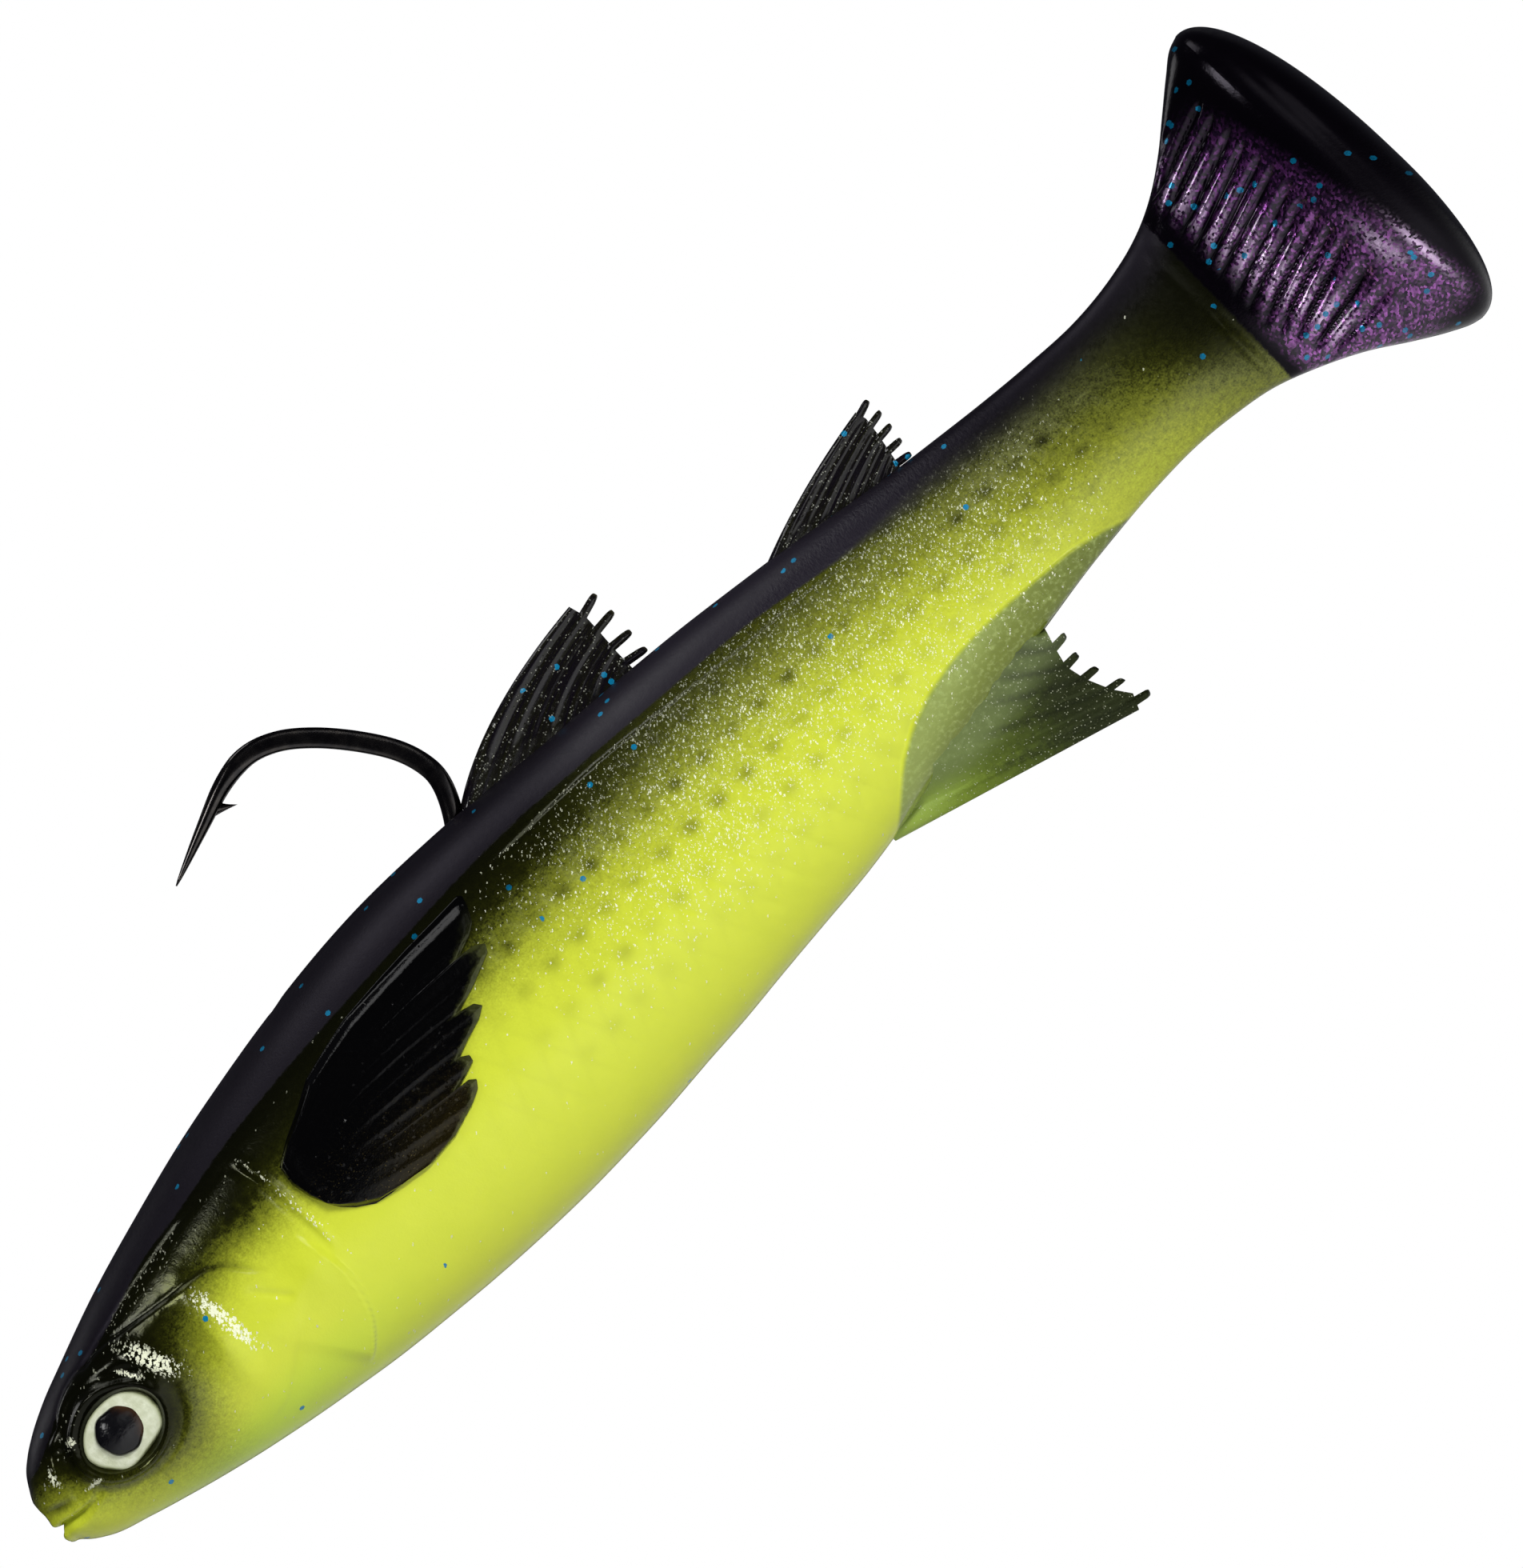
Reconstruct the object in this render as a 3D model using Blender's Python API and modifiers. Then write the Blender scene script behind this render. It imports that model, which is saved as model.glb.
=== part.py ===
"""Swimbait: a soft-plastic mullet with a paddle tail, poured round a weighted jig hook.

The origin is the centre of the hook's eye, where the line is tied. +X runs to the tail, +Z is up,
and the left flank faces -Y. Sizes are in millimetres. A place on the fish is (s, y, h): s behind
the tip of the snout, y to the right, h above the level of the mouth's upper lip.
"""

import math

import bmesh
import bpy
import numpy as np
from mathutils import Vector

MM = 0.001
GAP = 0.3  # between two pieces that touch on the real bait

# Overall sizes
OVERALL_LENGTH = 127.0
BACK_HEIGHT = 13.2
BELLY_DEPTH = 10.9
BODY_WIDTH = 16.8
SECTION_POWER = 2.3  # 2 is an ellipse, more is squarer

# Paddle tail, from the wrist to the rear face
TAIL_LENGTH = 23.0
TAIL_TOP = 14.3
TAIL_BOTTOM = 13.1
TAIL_WIDTH = 12.4
WRIST_TOP = 6.0
WRIST_BOTTOM = 5.5
WRIST_WIDTH = 4.8

# Line tie and hook wire
TIE_BEHIND_SNOUT = 4.2
TIE_BELOW_LIP = 1.0
WIRE = 1.4
EYE_BEND_RADIUS = 1.55
EYE_WIRE_END = math.radians(-8)  # where the bent wire stops short of the shank
POINT_RADIUS = 0.06
SPEAR_LENGTH = 9.0
SPEAR_TAPER = 0.75  # under 1, the spear keeps its thickness nearer to the point
BARB_LENGTH = 2.4
BARB_RISE = 1.5
BARB_FOOT = 1.44
BARB_THICKNESS = 0.44
BARB_BEHIND_POINT = 4.2

# Mouth pocket for the eye, and the slots for the wire
POCKET_WIDTH = 2.6
MOUTH_OPENING = 2.4
MOUTH_NOTCH_DEPTH = 0.7
MOUTH_NOTCH_HEIGHT = 0.9
LIP_LINE = -1.2
SLOT_WIDTH = 1.8
SLOT_DEPTH = 4.5
SLOT_START = 34.5

# Lead ballast on the shank
BALLAST_START = 12.0
BALLAST_LENGTH = 26.0
BALLAST_WIDTH = 8.4
BALLAST_COVER = 1.8
BALLAST_KEEL = 8.5

# Eyes
EYE_BEHIND_SNOUT = 7.8
EYE_HEIGHT = 0.4
EYE_RADIUS = 2.7
PUPIL_RADIUS = 1.55
EYE_SEAT = 4.4
EYE_RIM = 0.95
EYE_DOME = 1.45
PUPIL_DOME = 1.8

# Fins: root length, then the tip's place behind the root's front end and away from the back
FIN_THICKNESS = 0.9
ROOT_BEAD = 0.8
FINGER_LENGTH = 1.2
TRAILING_FOOT = (-0.6, 0.9)  # where the trailing edge ends: from the root's rear end, and away
FIRST_DORSAL_LENGTH = 14.2
FIRST_DORSAL_TIP = (13.5, 5.3)
FIRST_DORSAL_BOW = 1.0
FIRST_DORSAL_BOW_AT = 0.45  # share of the way to the tip where the leading edge bows most
FIRST_DORSAL_BEHIND_HOOK = 2.0  # from the middle of the wire
SECOND_DORSAL_LENGTH = 10.8
SECOND_DORSAL_TIP = (10.9, 3.4)
SECOND_DORSAL_FROM_END = 48.5
ANAL_LENGTH = 16.6
ANAL_TIP = (16.8, 6.9)
ANAL_FROM_END = 55.2
PECTORAL_LIFT = 0.7
PECTORAL_BEHIND_SNOUT = 27.6

# Bends: room between a bend's face and what stands ahead of it, and its face's extra radius
BEND_ROOM = 1.2
BEND_MARGIN = 0.7
SECOND_BEND_FROM_END = 36.0
WRIST_BEND_AHEAD = 1.0

RING_POINTS = 28
RING_STEP = 3.2
NOSE_RINGS = [0.0, 0.4, 1.0, 1.9, 3.2, 4.8]
BODY_RINGS_START = 6.6
TAIL_RINGS = [0.1, 0.2, 0.3, 0.4, 0.5, 0.58, 0.65, 0.7, 0.75, 0.8, 0.84, 0.88, 0.92, 0.95, 0.98, 1.0]
ARC_POINTS = 21  # odd, so that no corner falls in the middle plane with the body's own
FAR = 60.0  # past the fish on every side, for cutters

# The body's outline: way from snout to wrist, then shares of back height, belly depth and width
BODY_OUTLINE = [
    (0.000, 0.08, 0.20, 0.30),
    (0.005, 0.16, 0.23, 0.38),
    (0.019, 0.28, 0.34, 0.49),
    (0.048, 0.405, 0.45, 0.61),
    (0.077, 0.49, 0.54, 0.70),
    (0.115, 0.595, 0.64, 0.79),
    (0.192, 0.755, 0.80, 0.91),
    (0.288, 0.905, 0.935, 0.98),
    (0.413, 1.00, 1.00, 1.00),
    (0.510, 0.955, 0.965, 0.94),
    (0.596, 0.88, 0.915, 0.86),
    (0.721, 0.77, 0.815, 0.68),
    (0.865, 0.572, 0.59, 0.44),
]
# The tail's outline: way from wrist to rear face, then shares of the flare from wrist to full size
TAIL_OUTLINE = [
    (0.26, 0.09, 0.13, 0.02),
    (0.39, 0.23, 0.28, 0.04),
    (0.52, 0.46, 0.48, 0.10),
    (0.65, 0.75, 0.74, 0.36),
    (0.74, 0.94, 0.90, 0.72),
    (0.81, 1.00, 0.99, 0.97),
    (0.87, 0.88, 1.00, 1.00),
    (0.93, 0.60, 0.79, 0.86),
    (0.97, 0.16, 0.37, 0.52),
    (1.00, -0.50, -0.33, -0.35),
]
# The seam under the dark back: way from snout to wrist, and share of back height
SEAM_OUTLINE = [
    (-0.05, 0.14),
    (0.003, 0.155),
    (0.019, 0.224),
    (0.048, 0.345),
    (0.077, 0.39),
    (0.115, 0.447),
    (0.173, 0.523),
    (0.240, 0.591),
    (0.337, 0.674),
    (0.462, 0.712),
    (0.577, 0.682),
    (0.673, 0.614),
    (0.769, 0.538),
    (0.865, 0.439),
    (1.000, 0.333),
    (1.100, 0.333),
]
# The wire's middle behind the eye, in (s, h): along the shank, round the bend and to the point
HOOK_ROUTE = [
    (7.0, 0.75),
    (11.5, 2.2),
    (18.0, 4.2),
    (28.0, 5.2),
    (36.0, 5.5),
    (41.0, 6.0),
    (45.0, 7.3),
    (48.4, 9.2),
    (50.7, 11.2),
    (52.2, 13.1),
    (53.1, 15.0),
    (53.2, 16.6),
    (52.6, 18.6),
    (51.2, 20.9),
    (49.4, 23.1),
    (47.5, 24.7),
    (45.4, 25.5),
    (43.0, 25.3),
    (40.0, 24.3),
    (36.0, 22.85),
]
HOOK_EXIT_S = HOOK_ROUTE[9][0]  # the wire leaves the back at the route's tenth point
HOOK_ROUTE_IN_BODY = HOOK_ROUTE[:12]
HOOK_POINT_STEP = 1.3
# The pectoral fin's outline behind its front edge: (back, h), with a point at each ray's tip
PECTORAL_OUTLINE = [
    (0.0, 3.6),
    (1.6, 5.4),
    (5.0, 7.0),
    (10.0, 8.4),
    (15.6, 8.9),
    (20.9, 8.8),
    (19.3, 6.6),
    (19.6, 5.3),
    (17.2, 4.4),
    (16.8, 2.7),
    (14.4, 2.0),
    (14.0, 0.9),
    (12.6, 0.6),
    (12.9, -0.5),
    (8.4, -1.9),
    (2.5, -1.1),
    (0.6, 1.2),
]


def curve_through(rows, column=1):
    """A smooth function through the rows' points, flat past their ends."""
    xs = [row[0] for row in rows]
    ys = [row[column] for row in rows]
    slopes = np.gradient(ys, xs)

    def value(x):
        if x <= xs[0]:
            return ys[0]
        if x >= xs[-1]:
            return ys[-1]
        i = int(np.searchsorted(xs, x)) - 1
        width = xs[i + 1] - xs[i]
        t = (x - xs[i]) / width
        rise = (3 - 2 * t) * t * t
        lead = slopes[i] * (1 - t) - slopes[i + 1] * t
        return float(ys[i] + (ys[i + 1] - ys[i]) * rise + width * t * (1 - t) * lead)

    return value


def route_through(points, step):
    """Points about a step apart on a smooth curve through the given ones."""
    points = np.array(points)
    ends = [2 * points[0] - points[1], 2 * points[-1] - points[-2]]
    padded = np.vstack([ends[:1], points, ends[1:]])
    route = []
    for before, start, end, after in zip(padded, padded[1:], padded[2:], padded[3:]):
        count = max(1, round(float(np.linalg.norm(end - start)) / step))
        for t in np.arange(count) / count:
            bend = 2 * before - 5 * start + 4 * end - after
            twist = 3 * (start - end) + after - before
            route.append(start + 0.5 * t * (end - before + t * (bend + t * twist)))
    return [*route, points[-1]]


WRIST = OVERALL_LENGTH - TAIL_LENGTH


def outline_rows():
    """(s, top, bottom, half width) from the snout to the tail's rear face."""
    half = BODY_WIDTH / 2
    rows = [
        (way * WRIST, top * BACK_HEIGHT, -bottom * BELLY_DEPTH, width * half)
        for way, top, bottom, width in BODY_OUTLINE
    ]
    rows.append((WRIST, WRIST_TOP, -WRIST_BOTTOM, WRIST_WIDTH / 2))
    for way, top, bottom, width in TAIL_OUTLINE:
        rows.append(
            (
                WRIST + way * TAIL_LENGTH,
                WRIST_TOP + top * (TAIL_TOP - WRIST_TOP),
                -WRIST_BOTTOM - bottom * (TAIL_BOTTOM - WRIST_BOTTOM),
                (WRIST_WIDTH + width * (TAIL_WIDTH - WRIST_WIDTH)) / 2,
            )
        )
    return rows


ROWS = outline_rows()
top_at = curve_through(ROWS, 1)
bottom_at = curve_through(ROWS, 2)
half_width_at = curve_through(ROWS, 3)
seam_at = curve_through([(way * WRIST, share * BACK_HEIGHT) for way, share in SEAM_OUTLINE])
shank_at = curve_through(HOOK_ROUTE[:8])


def on_fish(s, y, h):
    """The model's place, in metres, of a place on the fish."""
    return Vector((s - TIE_BEHIND_SNOUT, y, h + TIE_BELOW_LIP)) * MM


# Scene helpers


def clear_scene():
    for obj in list(bpy.data.objects):
        bpy.data.objects.remove(obj, do_unlink=True)


def collection_named(name):
    made = bpy.data.collections.new(name)
    bpy.context.scene.collection.children.link(made)
    return made


def material_named(name, color, roughness, metallic=0.0):
    material = bpy.data.materials.new(name)
    material.use_nodes = True
    shader = material.node_tree.nodes["Principled BSDF"]
    shader.inputs["Base Color"].default_value = (*color, 1.0)
    shader.inputs["Roughness"].default_value = roughness
    shader.inputs["Metallic"].default_value = metallic
    return material


def mesh_of(form, name):
    bmesh.ops.recalc_face_normals(form, faces=form.faces)
    mesh = bpy.data.meshes.new(name)
    form.to_mesh(mesh)
    form.free()
    return mesh


def loft(rings, name):
    """A closed form through rings of places on the fish, all with one count of points."""
    form = bmesh.new()
    made = [[form.verts.new(on_fish(*place)) for place in ring] for ring in rings]
    for ahead, behind in zip(made, made[1:]):
        for i in range(len(ahead)):
            j = (i + 1) % len(ahead)
            form.faces.new((ahead[i], ahead[j], behind[j], behind[i]))
    form.faces.new(made[0])
    form.faces.new(made[-1])
    return mesh_of(form, name)


def prism(start_places, shift, name):
    """The flat outline through the places, pushed out by a shift in millimetres."""
    form = bmesh.new()
    face = form.faces.new([form.verts.new(on_fish(*place)) for place in start_places])
    pushed = bmesh.ops.extrude_face_region(form, geom=[face])["geom"]
    verts = [item for item in pushed if isinstance(item, bmesh.types.BMVert)]
    bmesh.ops.translate(form, verts=verts, vec=Vector(shift) * MM)
    return mesh_of(form, name)


def profile_prism(outline, half_width, name):
    """An outline in (s, h), as wide as twice the half width, centred on the fish."""
    places = [(s, -half_width, h) for s, h in outline]
    return prism(places, (0, 2 * half_width, 0), name)


def add_piece(name, mesh, material, pivot=None):
    """A visible node. Its mesh lies where the model has it; a pivot carries it without moving it."""
    obj = bpy.data.objects.new(name, mesh)
    PARTS.objects.link(obj)
    obj.data.materials.clear()
    obj.data.materials.append(material)
    if pivot:
        obj.parent = pivot
        obj.location = -pivot.location
    return obj


def add_cutter(name, mesh):
    obj = bpy.data.objects.new(name, mesh)
    CUTTERS.objects.link(obj)
    obj.hide_render = True
    obj.display_type = "WIRE"
    return obj


def add_pivot(name, place):
    pivot = bpy.data.objects.new(name, None)
    PARTS.objects.link(pivot)
    pivot.location = place
    return pivot


def cut(obj, operation, cutter, solver="EXACT"):
    modifier = obj.modifiers.new(f"{operation.lower()}_{cutter.name}", "BOOLEAN")
    modifier.solver = solver
    modifier.operation = operation
    modifier.object = cutter


def cut_pour(obj, operation, cutter):
    """A cut of the body's own form, where the exact solver can lose the whole solid."""
    cut(obj, operation, cutter, "MANIFOLD")


def smooth(obj, angle=35):
    obj.data.shade_smooth()
    obj.data.set_sharp_from_angle(angle=math.radians(angle))


# The body's form and its bends


def section(s, grow=0.0):
    """A ring round the fish at s, pushed out by grow."""
    middle = (top_at(s) + bottom_at(s)) / 2
    half_height = (top_at(s) - bottom_at(s)) / 2 + grow
    half_width = half_width_at(s) + grow
    ring = []
    for i in range(RING_POINTS):
        angle = math.tau * i / RING_POINTS
        across, up = math.cos(angle), math.sin(angle)
        y = math.copysign(abs(across) ** (2 / SECTION_POWER), across)
        h = math.copysign(abs(up) ** (2 / SECTION_POWER), up)
        ring.append((s, half_width * y, middle + half_height * h))
    return ring


def ring_places():
    body = np.linspace(BODY_RINGS_START, WRIST, round((WRIST - BODY_RINGS_START) / RING_STEP))
    tail = WRIST + TAIL_LENGTH * np.array(TAIL_RINGS)
    return [*NOSE_RINGS, *body, *tail]


def body_form(name, grow=0.0):
    return loft([section(s, grow) for s in ring_places()], name)


def bend_radius(face):
    """The radius of a bend whose round face is foremost at s = face: past the body's half width."""
    return half_width_at(face) + BEND_MARGIN


def arc(centre, radius):
    """(s, y) round the front half of a circle, from -y to +y."""
    angles = np.linspace(-math.pi / 2, math.pi / 2, ARC_POINTS + 1)
    return [(centre - radius * math.cos(a), radius * math.sin(a)) for a in angles]


def zone_mesh(name, front=None, back=None):
    """The stretch of fish from one bend's face to the next, as an upright prism."""
    if front is None:
        ahead = [(-FAR, -FAR), (-FAR, FAR)]
    else:
        radius = bend_radius(front)
        ahead = [(front + radius, -FAR), *arc(front + radius, radius), (front + radius, FAR)]
    if back is None:
        behind = [(OVERALL_LENGTH + FAR, FAR), (OVERALL_LENGTH + FAR, -FAR)]
    else:
        axis = back + bend_radius(back)
        hollow = arc(axis, bend_radius(back) + GAP)
        behind = [(axis, FAR), *reversed(hollow), (axis, -FAR)]
    places = [(s, y, -FAR) for s, y in [*ahead, *behind]]
    return prism(places, (0, 0, 2 * FAR), name)


def seam_prism(name, above):
    """All of the fish above or below the seam, half a gap clear of it."""
    ways = np.linspace(-0.05, 1.1, 40) * WRIST
    side = 1 if above else -1
    line = [(s, seam_at(s) + side * GAP / 2) for s in ways]
    ends = [(line[-1][0], side * FAR), (line[0][0], side * FAR)]
    return profile_prism([*line, *ends], FAR, name)


# The hook, its ballast and the room for both


def hook_route():
    """The wire's middle, in (s, h): round the eye, then along the shank and the bend to the point."""
    eye = [
        (
            TIE_BEHIND_SNOUT + EYE_BEND_RADIUS * math.cos(angle),
            EYE_BEND_RADIUS * math.sin(angle) - TIE_BELOW_LIP,
        )
        for angle in np.linspace(EYE_WIRE_END, -1.5 * math.pi, 19)
    ]
    return [*eye[:-1], *route_through([eye[-1], *HOOK_ROUTE], HOOK_POINT_STEP)]


def wire_mesh(route, radii, name):
    """A mesh tube along (s, h) points in the fish's middle plane."""
    curve = bpy.data.curves.new(name, "CURVE")
    curve.dimensions = "3D"
    curve.bevel_depth = MM
    curve.bevel_resolution = 3
    curve.use_fill_caps = True
    spline = curve.splines.new("POLY")
    spline.points.add(len(route) - 1)
    for point, (s, h), radius in zip(spline.points, route, radii):
        point.co = (*on_fish(s, 0, h), 1)
        point.radius = radius
    obj = bpy.data.objects.new(name, curve)
    CUTTERS.objects.link(obj)
    mesh = bpy.data.meshes.new_from_object(obj.evaluated_get(bpy.context.evaluated_depsgraph_get()))
    bpy.data.objects.remove(obj)
    form = bmesh.new()
    form.from_mesh(mesh)
    bmesh.ops.remove_doubles(form, verts=form.verts, dist=1e-6)
    return mesh_of(form, name)


def hook_mesh():
    route = hook_route()
    steps = [float(np.hypot(*np.subtract(a, b))) for a, b in zip(route, route[1:])]
    to_point = [sum(steps[i:]) for i in range(len(route))]
    radii = [
        POINT_RADIUS + (WIRE / 2 - POINT_RADIUS) * min(1.0, left / SPEAR_LENGTH) ** SPEAR_TAPER
        for left in to_point
    ]
    return wire_mesh(route, radii, "jig_hook")


def barb_mesh():
    """A sliver raised from the spear's inner side, its tip towards the bend."""
    point, behind = np.array(HOOK_ROUTE[-1]), np.array(HOOK_ROUTE[-2])
    along = (behind - point) / np.linalg.norm(behind - point)
    inward = np.array([along[1], -along[0]])
    root = point + BARB_BEHIND_POINT * along
    tip = root + BARB_LENGTH * along + BARB_RISE * inward
    outline = [root, tip, root + BARB_FOOT * along]
    return profile_prism([tuple(place) for place in outline], BARB_THICKNESS / 2, "barb")


def wire_room_mesh():
    """The tunnel that the plastic leaves for the shank, from the mouth pocket out of the back."""
    start = (TIE_BEHIND_SNOUT, EYE_BEND_RADIUS - TIE_BELOW_LIP)
    route = route_through([start, *HOOK_ROUTE_IN_BODY], HOOK_POINT_STEP)
    return wire_mesh(route, [WIRE / 2 + GAP] * len(route), "wire_room")


def ballast_size(way):
    """(s, half width, top, bottom) of the ballast at a share of its length."""
    s = BALLAST_START + way * BALLAST_LENGTH
    swell = math.sin(math.pi * way**0.8) ** 0.8
    half = BALLAST_WIDTH / 2 * (0.5 + 0.5 * swell)
    top = shank_at(s) + BALLAST_COVER
    return s, half, top, shank_at(s) - BALLAST_COVER - (BALLAST_KEEL - BALLAST_COVER) * swell


def ballast_rings(grow):
    """Round sections of the ballast, pushed out by grow, its ends too."""
    rings = []
    for way in np.linspace(0, 1, 11):
        s, half, top, bottom = ballast_size(way)
        s += grow * (2 * way - 1)
        middle, tall = (top + bottom) / 2, (top - bottom) / 2
        angles = np.linspace(0, math.tau, 16, endpoint=False)
        rings.append(
            [
                (s, (half + grow) * math.cos(a), middle + (tall + grow) * math.sin(a))
                for a in angles
            ]
        )
    return rings


def ballast_trench_rings(grow):
    """The ballast's round underside with straight walls above it, up past the back."""
    rings = []
    for ring in ballast_rings(grow):
        below = ring[8:] + ring[:1]
        left, right = below[0], below[-1]
        rings.append([*below, (right[0], right[1], FAR), (left[0], left[1], FAR)])
    return rings


def tongue_rings(grow):
    """The part of the back's pour that fills the trench over the ballast."""
    rings = []
    for way in np.linspace(0, 1, 11):
        s, half, top, bottom = ballast_size(way)
        s += grow * (2 * way - 1)
        floor = top - (top - bottom) / 4
        wall = half + grow
        rings.append([(s, -wall, floor), (s, wall, floor), (s, wall, FAR), (s, -wall, FAR)])
    return rings


def box_outline(front, back, low, high):
    return [(front, low), (back, low), (back, high), (front, high)]


def pocket_cutters():
    """The round pocket for the hook's eye, the mouth that opens it and the notch between the lips."""
    room = EYE_BEND_RADIUS + WIRE / 2 + GAP
    middle = -TIE_BELOW_LIP
    angles = np.linspace(0, math.tau, 24, endpoint=False)
    round_room = [
        (TIE_BEHIND_SNOUT + room * math.cos(a), middle + room * math.sin(a)) for a in angles
    ]
    half = MOUTH_OPENING / 2
    opening = box_outline(-FAR, TIE_BEHIND_SNOUT, middle - half, middle + half)
    notch = [
        (-MOUTH_NOTCH_DEPTH, LIP_LINE + MOUTH_NOTCH_HEIGHT),
        (-MOUTH_NOTCH_DEPTH, LIP_LINE - MOUTH_NOTCH_HEIGHT),
        (MOUTH_NOTCH_DEPTH, LIP_LINE),
    ]
    return [
        add_cutter("eye_pocket", profile_prism(round_room, POCKET_WIDTH / 2, "eye_pocket")),
        add_cutter("mouth_opening", profile_prism(opening, POCKET_WIDTH / 2 - 0.1, "mouth_opening")),
        add_cutter("mouth_notch", profile_prism(notch, FAR, "mouth_notch")),
    ]


def back_slot_cutter():
    floor = top_at(SLOT_START) - SLOT_DEPTH
    outline = box_outline(SLOT_START, HOOK_EXIT_S - WIRE / 2, floor, FAR)
    return add_cutter("back_slot", profile_prism(outline, SLOT_WIDTH / 2, "back_slot"))


# Eyes


def turned(name, profile, steps=28):
    """A turned form with its axis along local Z: the profile runs down its outer side, top to bottom."""
    mesh = bpy.data.meshes.new(name)
    count = len(profile)
    closed = profile[0][0] > 0 and profile[-1][0] > 0
    edges = [(i, (i + 1) % count) for i in range(count if closed else count - 1)]
    mesh.from_pydata([(r * MM, 0, z * MM) for r, z in profile], edges, [])
    obj = bpy.data.objects.new(name, mesh)
    screw = obj.modifiers.new("turn", "SCREW")
    screw.steps = steps
    screw.render_steps = steps
    screw.use_merge_vertices = True
    screw.merge_threshold = 1e-6
    screw.use_smooth_shade = True
    return obj


def dome(radius, rim, crown, inner=0.0, count=5):
    """(r, z) down a dome from its crown, or from a hole's edge, to its rim."""
    places = np.linspace(inner, radius, count)
    return [(r, crown - (crown - rim) * (r / radius) ** 2) for r in places]


def add_eye(side, sign):
    seat = sign * (EYE_SEAT + GAP)
    hole = PUPIL_RADIUS + GAP / 2
    ring = [*dome(EYE_RADIUS, EYE_RIM, EYE_DOME, hole), (EYE_RADIUS, 0), (hole, 0)]
    pupil = [*dome(PUPIL_RADIUS, EYE_DOME, PUPIL_DOME), (PUPIL_RADIUS, 0), (0, 0)]
    for name, profile, material in (
        (f"eye_ring_{side}", ring, EYE_PAINT),
        (f"eye_pupil_{side}", pupil, PUPIL_PAINT),
    ):
        obj = turned(name, profile)
        PARTS.objects.link(obj)
        obj.data.materials.append(material)
        obj.location = on_fish(EYE_BEHIND_SNOUT, seat, EYE_HEIGHT)
        obj.rotation_euler = (-sign * math.pi / 2, 0, 0)


def eye_socket_cutter(side, sign):
    radius = EYE_RADIUS + GAP
    angles = np.linspace(0, math.tau, 28, endpoint=False)
    places = [
        (
            EYE_BEHIND_SNOUT + radius * math.cos(a),
            sign * EYE_SEAT,
            EYE_HEIGHT + radius * math.sin(a),
        )
        for a in angles
    ]
    return add_cutter(f"eye_socket_{side}", prism(places, (0, sign * FAR, 0), f"eye_socket_{side}"))


# Fins


def fingers(start, end, count, length):
    """A trailing edge from start to end with rounded ray tips, for one outline in (along, away)."""
    start, end = np.array(start), np.array(end)
    step = (end - start) / (2 * count - 1)
    out = np.array([abs(step[1]), -step[0]]) / np.linalg.norm(step) * length
    edge = []
    for i in range(count):
        near = start + 2 * i * step
        far = near + step
        edge += [near, near + 0.75 * out, (near + far) / 2 + out, far + 0.75 * out, far]
    return [tuple(place) for place in edge]


def add_fin(name, root_start, root_length, edge_at, up, outline, count, material):
    """A fin on the back (up = 1) or belly (up = -1), turning on the round bead along its root.

    The outline is in (along the root, away from the body), from its front end to the trailing
    edge's lowest place. The root line stays a gap off the body all along.
    """
    root_end = root_start + root_length
    ways = np.linspace(0, 1, 9)
    chord = [edge_at(root_start) + way * (edge_at(root_end) - edge_at(root_start)) for way in ways]
    places = [edge_at(root_start + way * root_length) for way in ways]
    bulge = max(up * (place - line) for place, line in zip(places, chord))
    lift = up * (bulge + GAP + ROOT_BEAD)
    front = np.array([root_start, edge_at(root_start) + lift])
    back = np.array([root_end, edge_at(root_end) + lift])
    along = (back - front) / np.linalg.norm(back - front)
    away = up * np.array([-along[1], along[0]])
    tip, lowest = outline[-1], (root_length, 0.0)
    foot = (root_length + TRAILING_FOOT[0], TRAILING_FOOT[1])
    trailing = fingers(tip, foot, count, FINGER_LENGTH)
    blade = [front + u * along + v * away for u, v in [*outline[:-1], *trailing, lowest]]
    pivot = add_pivot(f"{name}_axis", on_fish(front[0], 0, front[1]))
    mesh = profile_prism([tuple(place) for place in blade], FIN_THICKNESS / 2, name)
    fin = add_piece(name, mesh, material, pivot)
    bead_name = f"{name}_bead"
    bead = add_cutter(bead_name, wire_mesh([front, back], [ROOT_BEAD, ROOT_BEAD], bead_name))
    cut(fin, "UNION", bead)
    return fin


def pectoral_outline_mesh(side, sign):
    outline = [(PECTORAL_BEHIND_SNOUT + back, 0.0, h) for back, h in PECTORAL_OUTLINE]
    return prism(outline, (0, sign * FAR, 0), f"pectoral_fin_{side}")


# The parts, from the front to the tail

clear_scene()
PARTS = collection_named("swimbait")
CUTTERS = collection_named("cutters")
BELLY_PLASTIC = material_named("belly_plastic", (0.62, 0.72, 0.06), 0.3)
BACK_PLASTIC = material_named("back_plastic", (0.03, 0.025, 0.045), 0.55)
TAIL_PLASTIC = material_named("tail_plastic", (0.05, 0.02, 0.06), 0.35)
FIN_PLASTIC = material_named("fin_plastic", (0.03, 0.03, 0.02), 0.3)
ANAL_FIN_PLASTIC = material_named("anal_fin_plastic", (0.16, 0.2, 0.05), 0.3)
HOOK_STEEL = material_named("hook_steel", (0.05, 0.05, 0.055), 0.25, 1.0)
LEAD = material_named("lead", (0.3, 0.31, 0.33), 0.6, 1.0)
EYE_PAINT = material_named("eye_paint", (0.8, 0.82, 0.68), 0.35)
PUPIL_PAINT = material_named("pupil_paint", (0.02, 0.02, 0.02), 0.15)

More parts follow.
